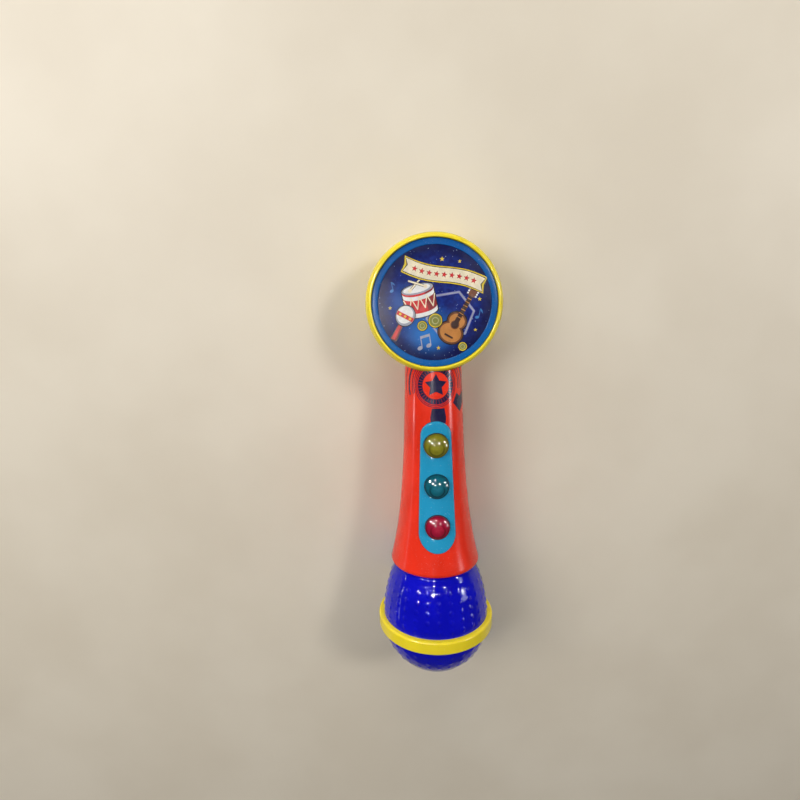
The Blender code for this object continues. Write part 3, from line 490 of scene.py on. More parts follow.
class Graph:
    """A material whose nodes are made and linked in one call each."""

    def __init__(self, name):
        self.material = bpy.data.materials.new(name)
        self.material.use_nodes = True
        self.tree = self.material.node_tree
        self.shader = self.tree.nodes["Principled BSDF"]

    def node(self, kind, inputs, **settings):
        made = self.tree.nodes.new(kind)
        for key, value in settings.items():
            setattr(made, key, value)
        for socket, value in inputs.items():
            self.feed(made.inputs[socket], value)
        return made

    def feed(self, socket, value):
        if isinstance(value, bpy.types.NodeSocket):
            self.tree.links.new(value, socket)
        else:
            socket.default_value = value

    def set(self, **inputs):
        for key, value in inputs.items():
            self.feed(self.shader.inputs[key.replace("_", " ")], value)

    def math(self, operation, first, second=0.0):
        return self.node("ShaderNodeMath", {0: first, 1: second}, operation=operation).outputs[0]

    def spot(self):
        """Object coordinates in metres."""
        return self.node("ShaderNodeTexCoord", {}).outputs["Object"]

    def where(self, stretch=(1.0, 1.0, 1.0), turn=(0.0, 0.0, 0.0)):
        """Object coordinates in millimetres, stretched and turned."""
        scale = tuple(value / MM for value in stretch)
        inputs = {"Vector": self.spot(), "Scale": scale, "Rotation": turn}
        return self.node("ShaderNodeMapping", inputs).outputs[0]

    def away(self, aim):
        """Distance in metres from a point."""
        inputs = {0: self.spot(), 1: tuple(aim)}
        return self.node("ShaderNodeVectorMath", inputs, operation="DISTANCE").outputs["Value"]

    def noise(self, scale, detail=2.0, spot=None, distortion=0.0):
        inputs = {"Vector": spot or self.where(), "Scale": scale, "Detail": detail,
                  "Distortion": distortion}
        return self.node("ShaderNodeTexNoise", inputs).outputs["Fac"]

    def ramp(self, value, low, high, start=0.0, end=1.0):
        """A value taken smoothly from one range to another."""
        inputs = {"Value": value, "From Min": low, "From Max": high, "To Min": start, "To Max": end}
        made = self.node("ShaderNodeMapRange", inputs, interpolation_type="SMOOTHSTEP")
        return made.outputs[0]

    def mix(self, share, first, second, blend="MIX"):
        made = self.node("ShaderNodeMix", {0: share, 6: first, 7: second}, data_type="RGBA",
                         blend_type=blend)
        return made.outputs[2]

    def over(self, base, mask, share, colour):
        """A colour laid over a base by a share of a mask."""
        return self.mix(self.math("MULTIPLY", mask, share), base, colour)

    def scratches(self):
        """Fine short hairlines in two directions, as a 0 to 1 mask."""
        lines = []
        for turn in ((0.2, 0.4, 0.5), (0.9, -0.3, -0.7)):
            spot = self.where((0.16, 2.6, 2.6), turn)
            thin = self.ramp(self.noise(1.0, 1.0, spot), 0.5, 0.512, 1.0, 0.0)
            cut = self.ramp(self.noise(1.0, 1.0, spot), 0.488, 0.5)
            lines.append(self.math("MULTIPLY", thin, cut))
        both = self.math("MAXIMUM", *lines)
        patches = self.ramp(self.noise(0.11, 2.0), 0.52, 0.68)
        return self.math("MULTIPLY", both, patches)

    def bump(self, height, depth, under=None):
        """A normal from a 0 to 1 height, its depth in millimetres."""
        inputs = {"Height": height, "Distance": depth * MM, "Strength": 1.0}
        if under is not None:
            inputs["Normal"] = under
        return self.node("ShaderNodeBump", inputs).outputs[0]


def moulded(name, colour, roughness=0.22, tone=0.12, grain=0.006, specks=True, smear=0.1, **shader):
    """Moulded plastic: faint flow marks, handling haze, hairline scratches, dust and slightly lighter
    sharp edges.
    """
    g = Graph(name)
    deep = shade(colour, 1.0 - tone)
    light = shade(colour, 1.0 + tone, 0.002)
    flow = g.noise(0.045, 3.0, g.where((1.0, 0.45, 1.0)), 0.6)
    base = g.mix(g.ramp(flow, 0.3, 0.7), deep, light)
    scratch = g.scratches()
    # Sharp edges, found by pointiness, are made a little lighter.
    edge = g.ramp(g.node("ShaderNodeNewGeometry", {}).outputs["Pointiness"], 0.53, 0.62)
    base = g.over(base, edge, 0.18, light)
    base = g.over(base, scratch, 0.1, light)
    haze = g.ramp(g.noise(0.09, 4.0), 0.4, 0.75, 0.0, smear)
    rough = g.math("ADD", roughness, haze)
    rough = g.math("ADD", rough, g.math("MULTIPLY", scratch, 0.25))
    if specks:
        dust = g.ramp(g.noise(2.4, 0.0), 0.79, 0.82)
        base = g.over(base, dust, 0.2, srgb(225, 222, 215))
        rough = g.math("ADD", rough, g.math("MULTIPLY", dust, 0.3))
    peel = g.bump(g.noise(0.9, 2.0), grain)
    normal = g.bump(g.math("SUBTRACT", 1.0, scratch), 0.004, peel)
    g.set(Base_Color=base, Roughness=rough, Normal=normal, **shader)
    return g.material


def ink(name, colour, roughness=0.2, tone=0.1, coat=0.4):
    """Printed ink under a clear laminate: fine halftone grain and slightly uneven density."""
    g = Graph(name)
    deep = shade(colour, 1.0 - tone)
    light = shade(colour, 1.0 + tone, 0.008)
    density = g.noise(0.35, 3.0)
    grain = g.noise(4.0, 1.0)
    both = g.math("ADD", g.math("MULTIPLY", density, 0.6), g.math("MULTIPLY", grain, 0.4))
    base = g.mix(g.ramp(both, 0.35, 0.65), deep, light)
    rough = g.ramp(g.noise(0.15, 3.0), 0.3, 0.8, roughness, roughness + 0.1)
    g.set(Base_Color=base, Roughness=rough, Normal=g.bump(g.noise(1.4, 2.0), 0.003))
    g.set(Specular_IOR_Level=0.35, Coat_Weight=coat, Coat_Roughness=0.06)
    return g.material


def night_sky(name):
    """The picture's ground: navy towards the edge, two soft glows and sparse glitter."""
    g = Graph(name)

    def distance_from(x, y):
        return g.away(MICROPHONE @ Vector((x, y, PICTURE_TOP)))

    edge = g.ramp(distance_from(0.0, 0.0), 19.0 * MM, 26.8 * MM)
    low_glow = g.ramp(distance_from(-3.0, -14.0), 17.0 * MM, 1.0 * MM)
    left_glow = g.ramp(distance_from(-15.5, 1.0), 12.0 * MM, 0.0)
    mottled = g.ramp(g.noise(0.5, 3.0), 0.35, 0.7)
    base = g.mix(mottled, srgb(18, 30, 108), srgb(24, 48, 136))
    base = g.over(base, low_glow, 0.95, srgb(46, 122, 204))
    base = g.over(base, left_glow, 0.8, srgb(42, 92, 172))
    base = g.over(base, edge, 0.8, srgb(14, 16, 62))
    cells = g.node("ShaderNodeTexVoronoi", {"Vector": g.where(), "Scale": 0.75})
    dot = g.ramp(cells.outputs["Distance"], 0.2, 0.08)
    chosen = g.ramp(cells.outputs["Color"], 0.6, 0.8)
    glitter = g.math("MULTIPLY", dot, chosen)
    base = g.over(base, glitter, 0.8, srgb(170, 200, 240))
    rough = g.ramp(g.noise(0.15, 3.0), 0.3, 0.8, 0.16, 0.26)
    g.set(Base_Color=base, Roughness=rough, Normal=g.bump(g.noise(1.4, 2.0), 0.003))
    g.set(Specular_IOR_Level=0.2, Coat_Weight=0.4, Coat_Roughness=0.05)
    return g.material


def clear_tint(name, colour, centre, below):
    """Tinted clear plastic: a painted glow in the middle, painted shade at the rim and at an inner step,
    faint swirls.
    """
    g = Graph(name)
    # deep is the colour of the painted shade, pale the colour of the painted glow.
    deep = shade(colour, 0.42)
    pale = shade(colour, 1.35, 0.03)
    # Painted shade: the tint darkens towards the rim.
    base = g.mix(g.ramp(g.away(centre), 4.6 * MM, 6.5 * MM), colour, deep)
    # Painted glow: a paler middle, as if lit through the dome.
    inner = g.ramp(g.away(centre), 3.4 * MM, 1.2 * MM)
    base = g.over(base, inner, 0.55, pale)
    # Painted shade along the inner step, stronger towards the point below the centre.
    step = g.away(centre * 0.75 + below * 0.25)
    line = g.math("MULTIPLY", g.ramp(step, 2.9 * MM, 3.6 * MM), g.ramp(step, 4.5 * MM, 3.8 * MM))
    side = g.ramp(g.away(below), 8.5 * MM, 4.5 * MM)
    base = g.over(base, line, side, deep)
    base = g.mix(g.ramp(g.noise(0.7, 3.0), 0.4, 0.75, 0.0, 0.3), base, deep)
    rough = g.ramp(g.noise(0.4, 3.0), 0.3, 0.8, 0.02, 0.05)
    g.set(Base_Color=base, Roughness=rough, Normal=g.bump(g.noise(0.7, 2.0), 0.003))
    g.set(Transmission_Weight=0.25, IOR=1.49, Coat_Weight=0.5, Coat_Roughness=0.03)
    return g.material


def metal(name, colour, roughness=0.3, tarnish=0.35):
    """Plated steel with drawing lines and dull spots."""
    g = Graph(name)
    dull = shade(colour, 0.6)
    lines = g.noise(1.0, 2.0, g.where((6.0, 0.3, 6.0)))
    spots = g.ramp(g.noise(0.6, 4.0), 0.45, 0.7)
    base = g.over(colour, spots, tarnish, dull)
    rough = g.math("ADD", g.ramp(lines, 0.3, 0.7, roughness - 0.08, roughness + 0.08),
                   g.math("MULTIPLY", spots, 0.15))
    g.set(Base_Color=base, Roughness=rough, Metallic=1.0, Normal=g.bump(lines, 0.004))
    return g.material


def matt(name, colour, roughness=0.55, scale=0.8, depth=0.02, tone=0.2):
    """A matt surface with a fine even texture, such as paper, rubber or ferrite."""
    g = Graph(name)
    deep = shade(colour, 1.0 - tone)
    light = shade(colour, 1.0 + tone, 0.004)
    grain = g.noise(scale, 4.0)
    base = g.mix(g.ramp(grain, 0.35, 0.65), deep, light)
    rough = g.ramp(g.noise(scale * 0.4, 2.0), 0.3, 0.7, roughness - 0.07, roughness + 0.07)
    g.set(Base_Color=base, Roughness=rough, Normal=g.bump(grain, depth))
    return g.material


def circuit_board(name):
    """Green solder mask over copper tracks, with tinned pads."""
    g = Graph(name)
    mask = g.noise(0.3, 2.0)
    base = g.mix(g.ramp(mask, 0.35, 0.7), srgb(14, 78, 40), srgb(20, 98, 52))
    inputs = {"Vector": g.where((0.32, 0.32, 0.32), (0.3, 0.0, 0.0)), "Scale": 1.0,
              "Mortar Size": 0.06, "Brick Width": 1.9, "Row Height": 0.7}
    line = g.node("ShaderNodeTexBrick", inputs).outputs["Fac"]
    base = g.over(base, line, 0.75, srgb(52, 138, 76))
    pads = g.node("ShaderNodeTexVoronoi", {"Vector": g.where(), "Scale": 0.33})
    pad = g.ramp(pads.outputs["Distance"], 0.2, 0.15)
    base = g.over(base, pad, 0.9, srgb(196, 196, 190))
    height = g.math("ADD", g.math("MULTIPLY", line, 0.4), g.math("MULTIPLY", pad, 0.6))
    g.set(Base_Color=base, Roughness=g.ramp(pad, 0.0, 1.0, 0.42, 0.28), Normal=g.bump(height, 0.05))
    return g.material


def cell_jacket(name):
    """A dry cell's printed jacket: dark green with a gold band and bare steel ends."""
    g = Graph(name)
    low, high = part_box("battery_1")
    y = g.node("ShaderNodeSeparateXYZ", {0: g.spot()}).outputs["Y"]
    share = g.ramp(y, low.y, high.y)
    band = g.math("MULTIPLY", g.ramp(share, 0.66, 0.67), g.ramp(share, 0.9, 0.89))
    base = g.mix(g.ramp(g.noise(0.4, 3.0), 0.3, 0.7), srgb(14, 70, 58), srgb(20, 88, 72))
    base = g.mix(band, base, srgb(196, 158, 74))
    ends = g.math("MAXIMUM", g.ramp(share, 0.03, 0.02), g.ramp(share, 0.97, 0.98))
    base = g.mix(ends, base, srgb(190, 190, 188))
    rough = g.ramp(g.noise(0.8, 3.0), 0.3, 0.7, 0.22, 0.38)
    g.set(Base_Color=base, Roughness=rough, Metallic=0.45, Normal=g.bump(g.scratches(), 0.004))
    return g.material


def make_looks():
    """Every material, by the record's slot name."""
    def cap(name, colour, index):
        # The cap's middle and a point 5 mm along the panel, which place its painted glow and painted
        # shade.
        spot = button_spot(index) + Vector((0.0, 0.0, 2.0))
        centre, below = (MICROPHONE @ (KEYPAD @ (spot + Vector((0.0, y, 0.0)))) for y in (0.0, -5.0))
        return clear_tint(name, colour, centre, below)

    def lamp(name, colour, tone=0.1):
        return moulded(name, colour, 0.1, tone, 0.002, False, Transmission_Weight=0.4)

    return {
        "orange_plastic": moulded("orange_red_plastic", srgb(244, 52, 28), 0.15,
                                  Specular_IOR_Level=0.28, Coat_Weight=0.12, Coat_Roughness=0.05),
        "yellow_plastic": moulded("yellow_plastic", srgb(250, 226, 42), 0.17, 0.06,
                                  Specular_IOR_Level=0.45),
        "blue_plastic": moulded("royal_blue_plastic", srgb(6, 9, 198), 0.06, 0.14, 0.003, False, 0.04,
                                Specular_IOR_Level=0.26, Coat_Weight=0.14, Coat_Roughness=0.03),
        "cyan_plastic": moulded("cyan_plastic", srgb(36, 156, 204), 0.09, 0.06),
        "mid_blue_plastic": moulded("mid_blue_plastic", srgb(2, 92, 170), 0.22, 0.08,
                                    Specular_IOR_Level=0.14),
        "picture_print": night_sky("picture_ground"),
        "clear_yellow": cap("clear_yellow", srgb(152, 148, 34), 0),
        "clear_teal": cap("clear_teal", srgb(10, 118, 140), 1),
        "clear_red": cap("clear_red", srgb(190, 14, 62), 2),
        "circuit_board": circuit_board("circuit_board"),
        "black_resin": matt("black_resin", srgb(22, 22, 22), 0.3, 0.5, 0.05),
        "black_plastic": moulded("black_plastic", srgb(30, 30, 32), 0.42, 0.2, 0.012),
        "led_body": moulded("lamp_housing", srgb(232, 230, 220), 0.35, 0.05, 0.008),
        "lamp_red": lamp("lamp_red", srgb(214, 40, 30)),
        "lamp_green": lamp("lamp_green", srgb(40, 190, 84)),
        "lamp_white": lamp("lamp_white", srgb(225, 228, 232), 0.04),
        "tray_plastic": moulded("tray_plastic", srgb(196, 52, 34), 0.42, 0.1, 0.015),
        "cell_jacket": cell_jacket("cell_jacket"),
        "wire_red": matt("wire_red", srgb(186, 24, 22), 0.42, 1.5, 0.008, 0.12),
        "wire_black": matt("wire_black", srgb(26, 26, 26), 0.42, 1.5, 0.008, 0.12),
        "speaker_paper": matt("speaker_paper", srgb(34, 33, 32), 0.8, 1.2, 0.05, 0.3),
        "ferrite": matt("ferrite", srgb(64, 64, 66), 0.5, 1.8, 0.03, 0.25),
        "steel": metal("plated_steel", srgb(196, 196, 200)),
    }


LOOKS = make_looks()
PRINT_NAVY = ink("print_navy", srgb(22, 16, 64), 0.2, 0.1, 0.15)


# ---- handle

def lip_profile():
    """The handle's end from the outer patch round the lip to the inner patch, as (station, radius)."""
    outer = [(s, handle_radius(s)) for s in np.linspace(OUTER_PATCH_END, FLARE_END, 5)]
    top = handle_radius(FLARE_END) - LIP_ROUNDING
    lip = arc((FLARE_END, top), (LIP_ROUNDING, LIP_ROUNDING), 90.0, 0.0, 10)[1:]
    end = FLARE_END + LIP_ROUNDING
    mouth = [(end, MOUTH_RADIUS + 0.5), (end - 0.5, MOUTH_RADIUS), (MOUTH_START, MOUTH_RADIUS)]
    return outer + lip + mouth + [(INNER_PATCH_END, handle_radius(INNER_PATCH_END) - HANDLE_WALL)]


ACROSS = np.linspace(-1.0, 1.0, 65)
ALONG = np.linspace(0.0, 1.0, 71)


def shell_path(side, height, end):
    """Open path round the sides and the disc end of half the handle, as (u, station) points."""
    edge = U_SCALE * (math.pi / 2.0 - PARTING_ANGLE)
    disc_end = [(edge * share, disc_cut(side, edge * share, height)) for share in ACROSS]
    first, last = disc_end[0][1], disc_end[-1][1]
    left = [(-edge, end + (first - end) * share) for share in ALONG[:-1]]
    right = [(edge, last + (end - last) * share) for share in ALONG[1:]]
    return left + disc_end + right


def half_shell(side, outer_holes, inner_holes):
    """Half of the handle with its lip; the holes' own walls are added by the caller."""
    skin = Skin()
    outer, inner = handle_surface(side, 0.0), handle_surface(side, -HANDLE_WALL)
    outer_path = shell_path(side, 0.0, OUTER_PATCH_END)
    inner_path = shell_path(side, -HANDLE_WALL, INNER_PATCH_END)
    edge = outer_path[-1][0]
    outer_end = [(edge * share, OUTER_PATCH_END) for share in ACROSS[::-1]][1:-1]
    inner_end = [(edge * share, INNER_PATCH_END) for share in ACROSS[::-1]][1:-1]
    skin.patch(outer, outer_path + outer_end, outer_holes)
    skin.patch(inner, inner_path + inner_end, inner_holes, INNER_SPACING)
    skin.strips(on_handle(side, (0.0, -HANDLE_WALL), (outer_path, inner_path)), False)
    rows = []
    for share in ACROSS:
        turn = edge * share / U_SCALE
        rows.append([(r * math.sin(turn), -s, side * r * math.cos(turn)) for s, r in lip_profile()])
    skin.strips(rows, False)
    skin.polygon(rows[0])
    skin.polygon(rows[-1])
    return skin


def front_shell():
    pocket = capsule_outline(*PANEL_ENDS, SEAM)
    top = outline_on_handle(1, 0.0, pocket)
    floor = outline_on_handle(1, -PANEL_POCKET, pocket)
    floor_bores = [bore_on_handle(i, -PANEL_POCKET, BUTTON_BORE) for i in range(3)]
    inner_bores = [bore_on_handle(i, -HANDLE_WALL, BUTTON_BORE) for i in range(3)]
    skin = half_shell(1, [top], inner_bores)
    skin.strips(on_handle(1, (0.0, -PANEL_POCKET), (top, floor)))
    skin.patch(handle_surface(1, -PANEL_POCKET), floor, floor_bores, 2.0)
    for bore in zip(floor_bores, inner_bores):
        skin.strips(on_handle(1, (-PANEL_POCKET, -HANDLE_WALL), bore))
    skin.done("handle_front", "orange_plastic", ["handle_front_shell"])


def upright_ring(x, station, radius, z):
    return [(px, -ps, z) for px, ps in circle((x, station), radius, WELL_STEPS)]


def well_loop(spot, radius, height):
    """Where a round well of the rear shell or the door meets its surface at a height."""
    return outline_on_handle(-1, height, circle(spot, radius, WELL_STEPS))


def screw_well(skin, x, station, radii, heights):
    """A recess with a screw passage in a round post that stands on the inner surface."""
    recess, passage, post = radii
    seat, tip = heights
    ends = (0.0, -HANDLE_WALL)
    loops = [well_loop((x, station), radius, height) for radius, height in zip((recess, post), ends)]
    first, last = on_handle(-1, ends, loops)
    steps = ((recess, seat), (passage, seat), (passage, tip), (post, tip))
    skin.strips([first] + [upright_ring(x, station, *step) for step in steps] + [last])


def rear_shell():
    opening = rounded_rectangle(DOOR_HALF_WIDTH + SEAM, DOOR_ENDS[0] - SEAM, DOOR_ENDS[1] + SEAM,
                                DOOR_CORNER + SEAM)
    half_slot = POWER_TRAVEL / 2.0 + SLOT_HALF_WIDTH
    slot = rounded_rectangle(SLOT_HALF_WIDTH, POWER_STATION - half_slot, POWER_STATION + half_slot, 0.5,
                             4, (4, 8))
    levels = (0.0, -HANDLE_WALL)
    cuts = [[outline_on_handle(-1, level, outline) for level in levels] for outline in (opening, slot)]
    recess, _, post = HANDLE_WELL
    wells = [[well_loop(spot, radius, level) for level, radius in zip(levels, (recess, post))]
             for spot in HANDLE_SCREWS]
    skin = half_shell(-1, [pair[0] for pair in cuts + wells], [pair[1] for pair in cuts + wells])
    for pair in cuts:
        skin.strips(on_handle(-1, levels, pair))
    for spot in HANDLE_SCREWS:
        screw_well(skin, *spot, HANDLE_WELL, (HANDLE_SCREW_HEAD_Z + HEAD_GAP, POST_TIP))
    skin.done("handle_rear", "orange_plastic", ["handle_rear_shell"])


def rounded_levels(top, rounding, steps=6):
    """(inset, height) levels of an edge rounded from a top surface down to its wall."""
    levels = []
    for step in range(steps + 1):
        turn = math.radians(90.0 * step / steps)
        levels.append((rounding * (1.0 - math.sin(turn)), top - rounding * (1.0 - math.cos(turn))))
    return levels


def heights_of(levels):
    return [height for _, height in levels]


def battery_door():
    skin = Skin()

    def outline(inset, level):
        shape = rounded_rectangle(DOOR_HALF_WIDTH - inset, DOOR_ENDS[0] + inset, DOOR_ENDS[1] - inset,
                                  DOOR_CORNER)
        return outline_on_handle(-1, level, shape)

    levels = rounded_levels(0.0, 0.35, 4) + [(0.0, -HANDLE_WALL)]
    loops = [outline(*level) for level in levels]
    spot = (0.0, DOOR_SCREW_STATION)
    recess, _, boss = DOOR_WELL
    skin.patch(handle_surface(-1, 0.0), loops[0], [well_loop(spot, recess, 0.0)])
    skin.patch(handle_surface(-1, -HANDLE_WALL), loops[-1], [well_loop(spot, boss, -HANDLE_WALL)],
               INNER_SPACING)
    skin.strips(on_handle(-1, heights_of(levels), loops))
    screw_well(skin, *spot, DOOR_WELL, (DOOR_SCREW_HEAD_Z + HEAD_GAP, DOOR_BOSS_TIP))
    for number in range(THUMB_BARS):
        half_length = THUMB_BAR_HALF_LENGTH - 0.55 * abs(number - THUMB_BARS // 2)
        thumb_bar(skin, THUMB_BAR_START + THUMB_BAR_PITCH * number, half_length)
    skin.done("battery_cover_skin", "orange_plastic", ["battery_door"], "battery_cover")


def thumb_bar(skin, station, half_length):
    """One low rounded bar across the door, to push it with a thumb."""
    levels = rounded_levels(0.4, 0.35, 4) + [(0.0, -0.3)]
    loops = []
    for inset, height in levels:
        radii = (THUMB_BAR_HALF_WIDTH - inset,) * 2
        right = arc((half_length - inset, station), radii, -90.0, 90.0, 8)
        left = arc((inset - half_length, station), radii, 90.0, 270.0, 8)
        loops.append(outline_on_handle(-1, height, right + left))
    rings = on_handle(-1, heights_of(levels), loops)
    skin.strips(rings)
    skin.polygon(rings[0])
    skin.polygon(rings[-1])


def button_panel():
    skin = Skin()
    edge_levels = rounded_levels(PANEL_HEIGHT, PANEL_ROUNDING, 8) + [(0.0, PANEL_BOTTOM)]
    edges = [outline_on_handle(1, height, capsule_outline(*PANEL_ENDS, -inset))
             for inset, height in edge_levels]
    bore_levels = rounded_levels(PANEL_HEIGHT, 0.15, 3) + [(0.0, PANEL_BOTTOM)]
    skin.strips(on_handle(1, heights_of(edge_levels), edges))
    bores = [[bore_on_handle(i, height, BUTTON_BORE + inset) for inset, height in bore_levels]
             for i in range(3)]
    for loops in bores:
        skin.strips(on_handle(1, heights_of(bore_levels), loops))
    skin.patch(handle_surface(1, PANEL_HEIGHT), edges[0], [loops[0] for loops in bores], 1.1)
    skin.patch(handle_surface(1, PANEL_BOTTOM), edges[-1], [loops[-1] for loops in bores], 2.0)
    skin.done("button_panel_moulding", "cyan_plastic", ["button_panel"])


def button_cap(index):
    """A clear dome on a skirt with a retaining flange and a pressing post."""
    colour = BUTTON_COLOURS[index]
    spot = button_spot(index)
    tip = SWITCH_DEPTH - spot.z
    dome = arc((0.0, CAP_TOP - CAP_ROUND), (CAP_ROUND, CAP_ROUND), 90.0, CAP_EDGE_ANGLE, 24)
    dome[0] = (0.0, dome[0][1])
    edge_centre = (BUTTON_RADIUS - CAP_EDGE, dome[-1][1] - CAP_EDGE_DROP)
    edge = arc(edge_centre, (CAP_EDGE, CAP_EDGE), 45.0, 0.0, 6)
    skirt = [(BUTTON_RADIUS, FLANGE_TOP), (FLANGE_RADIUS, FLANGE_TOP), (FLANGE_RADIUS, FLANGE_BOTTOM),
             (CAP_BORE, FLANGE_BOTTOM), (CAP_BORE, CAP_HOLLOW)]
    under = arc((CAP_POST, CAP_HOLLOW), (CAP_BORE - CAP_POST, 1.8), 0.0, 90.0, 8)[1:]
    profile = dome + edge + skirt + under + [(CAP_POST, tip), (0.0, tip)]
    skin = Skin()
    skin.turned(profile, 72)
    skin.done(f"clear_cap_{colour}", f"clear_{colour}", [f"button_cap_{colour}"], f"button_{colour}",
              CRISP_ANGLE, KEYPAD @ Matrix.Translation(spot))


# ---- disc

def disc_front():
    inner = DISC_RADIUS - DISC_WALL
    side = arc((DISC_RADIUS - RIM_WIDTH, DISC_SIDE_TOP), (RIM_WIDTH, DISC_FRONT - DISC_SIDE_TOP),
               0.0, 90.0, 20)
    window = arc((WINDOW_RADIUS + WINDOW_ROUNDING, DISC_FRONT - WINDOW_ROUNDING),
                 (WINDOW_ROUNDING,) * 2, 90.0, 180.0, 5)
    under = LEDGE_Z - LEDGE_WALL
    profile = [(DISC_RADIUS, HALF_SEAM)] + side + window
    profile += [(WINDOW_RADIUS, LEDGE_Z), (LEDGE_RADIUS, LEDGE_Z), (LEDGE_RADIUS, under),
                (inner - 2.0, under), (inner, DISC_SIDE_TOP), (inner, HALF_SEAM)]
    skin = Skin()
    skin.turned(profile, ROUND_STEPS)
    skin.done("disc_front_shell", "yellow_plastic", ["disc_front_housing"])


def around(radius, turn):
    """A point on a circle round the origin."""
    return (radius * math.cos(turn), radius * math.sin(turn))


def level_ring(centre, radius, z, steps):
    return [(x, y, z) for x, y in circle(centre, radius, steps)]


def disc_holes():
    """Holes of the rear housing: centre, (radius, height) levels from the outside in, and steps."""
    floor = DISC_REAR + DISC_WALL
    grille = ((GRILLE_HOLE + GRILLE_BEVEL, DISC_REAR), (GRILLE_HOLE + 0.07, DISC_REAR + 0.08),
              (GRILLE_HOLE, DISC_REAR + 0.3), (GRILLE_HOLE, floor))
    recess, passage, post = DISC_WELL
    seat = DISC_SCREW_HEAD_Z + HEAD_GAP
    well = ((recess + 0.05, DISC_REAR), (recess, DISC_REAR + 0.1), (recess, seat), (passage, seat),
            (passage, POST_TIP), (post, POST_TIP), (post, floor))
    holes = []
    for radius, count in GRILLE_RINGS:
        holes += [(around(radius, math.tau * number / count), grille, 20) for number in range(count)]
    holes += [(around(DISC_SCREW_CIRCLE, math.radians(angle)), well, 28) for angle in DISC_SCREW_ANGLES]
    return holes


def disc_rear():
    floor = DISC_REAR + DISC_WALL
    inner = DISC_RADIUS - DISC_WALL
    edge = DISC_RADIUS - REAR_ROUNDING
    side = arc((edge, DISC_SIDE_BOTTOM), (REAR_ROUNDING, DISC_SIDE_BOTTOM - DISC_REAR), -90.0, 0.0, 18)
    profile = side + [(DISC_RADIUS, -HALF_SEAM), (inner, -HALF_SEAM), (inner, DISC_SIDE_BOTTOM - 1.0),
                      (FLOOR_RADIUS, floor)]
    skin = Skin()
    middle = (0.0, 0.0)
    skin.strips([level_ring(middle, radius, z, ROUND_STEPS) for radius, z in profile])
    outside, within = [], []
    for centre, levels, steps in disc_holes():
        outside.append(circle(centre, levels[0][0], steps))
        within.append(circle(centre, levels[-1][0], steps))
        skin.strips([level_ring(centre, radius, z, steps) for radius, z in levels])
    skin.patch(lambda x, y: (x, y, DISC_REAR), circle(middle, edge, ROUND_STEPS), outside, 1.8)
    skin.patch(lambda x, y: (x, y, floor), circle(middle, FLOOR_RADIUS, ROUND_STEPS), within,
               INNER_SPACING)
    skin.done("disc_rear_shell", "yellow_plastic", ["disc_rear_housing"])


def face_plate():
    """The flat blue ring, with rounded edges that catch the light."""
    outer, seat, bottom = WINDOW_RADIUS - SEAM, PICTURE_RADIUS + 0.1, LEDGE_Z + 0.3
    rounded = arc((outer - 0.35, FACE_TOP - 0.35), (0.35, 0.35), 0.0, 90.0, 5)
    inner_edge = arc((seat + 0.25, FACE_TOP - 0.2), (0.25, 0.2), 90.0, 180.0, 4)
    profile = [(0.0, bottom), (outer, bottom)] + rounded + inner_edge
    profile += [(seat, PLATE_SEAT), (0.0, PLATE_SEAT)]
    skin = Skin()
    skin.turned(profile, ROUND_STEPS)
    skin.done("disc_face_ring", "mid_blue_plastic", ["disc_face_plate"])


# ---- printed art

class Sheet:
    """Flat overlapping shapes, each with its ink; later shapes lie over earlier ones."""

    def __init__(self):
        self.shapes = []

    def add(self, ink_name, outline):
        self.shapes.append((ink_name, outline))

    def stroke(self, ink_name, points, width, closed=False):
        """A line of one width along a path, drawn as short quads with round joints."""
        path = list(points) + ([points[0]] if closed else [])
        for (ax, ay), (bx, by) in zip(path, path[1:]):
            length = math.hypot(bx - ax, by - ay)
            nx, ny = (ay - by) / length * width / 2.0, (bx - ax) / length * width / 2.0
            self.add(ink_name, [(ax + nx, ay + ny), (ax - nx, ay - ny), (bx - nx, by - ny),
                                (bx + nx, by + ny)])
            self.add(ink_name, circle((bx, by), width / 2.0, 10))

    def parts(self):
        """The sheet cut into triangles: flat points, faces, and the ink on top of each face."""
        points, faces = [], []
        for _, outline in self.shapes:
            start = len(points)
            points += [Vector(point) for point in anticlockwise(outline)]
            faces.append(list(range(start, start + len(outline))))
        flat, _, made, _, _, under = delaunay_2d_cdt(points, [], faces, 1, 1e-5)
        tops = [self.shapes[max(shapes)][0] if shapes else None for shapes in under]
        return [tuple(point) for point in flat], made, tops


def anticlockwise(outline):
    """The outline, reversed if need be, as the triangulation wants it."""
    x, y = np.array(outline, float).T
    area = np.sum(x * np.roll(y, -1) - np.roll(x, -1) * y)
    return outline if area > 0.0 else outline[::-1]


def turned_about(points, centre, degrees):
    turn = math.radians(degrees)
    cos, sin = math.cos(turn), math.sin(turn)
    return [(centre[0] + x * cos - y * sin, centre[1] + x * sin + y * cos) for x, y in points]


def star(centre, radius, degrees=90.0, points=5, depth=0.45):
    outline = []
    for step in range(points * 2):
        reach = radius if step % 2 == 0 else radius * depth
        turn = math.radians(degrees + 180.0 * step / points)
        outline.append((centre[0] + reach * math.cos(turn), centre[1] + reach * math.sin(turn)))
    return outline


def block(left, low, right, high):
    return [(left, low), (right, low), (right, high), (left, high)]


def taper(low, half_low, high, half_high):
    """A bar along the drawing's own Y axis, given by its two ends and half widths."""
    return [(-half_low, low), (half_low, low), (half_high, high), (-half_high, high)]


def ellipse(centre, radii, degrees=0.0, steps=36):
    return turned_about(arc((0.0, 0.0), radii, 0.0, 360.0, steps)[:-1], centre, degrees)


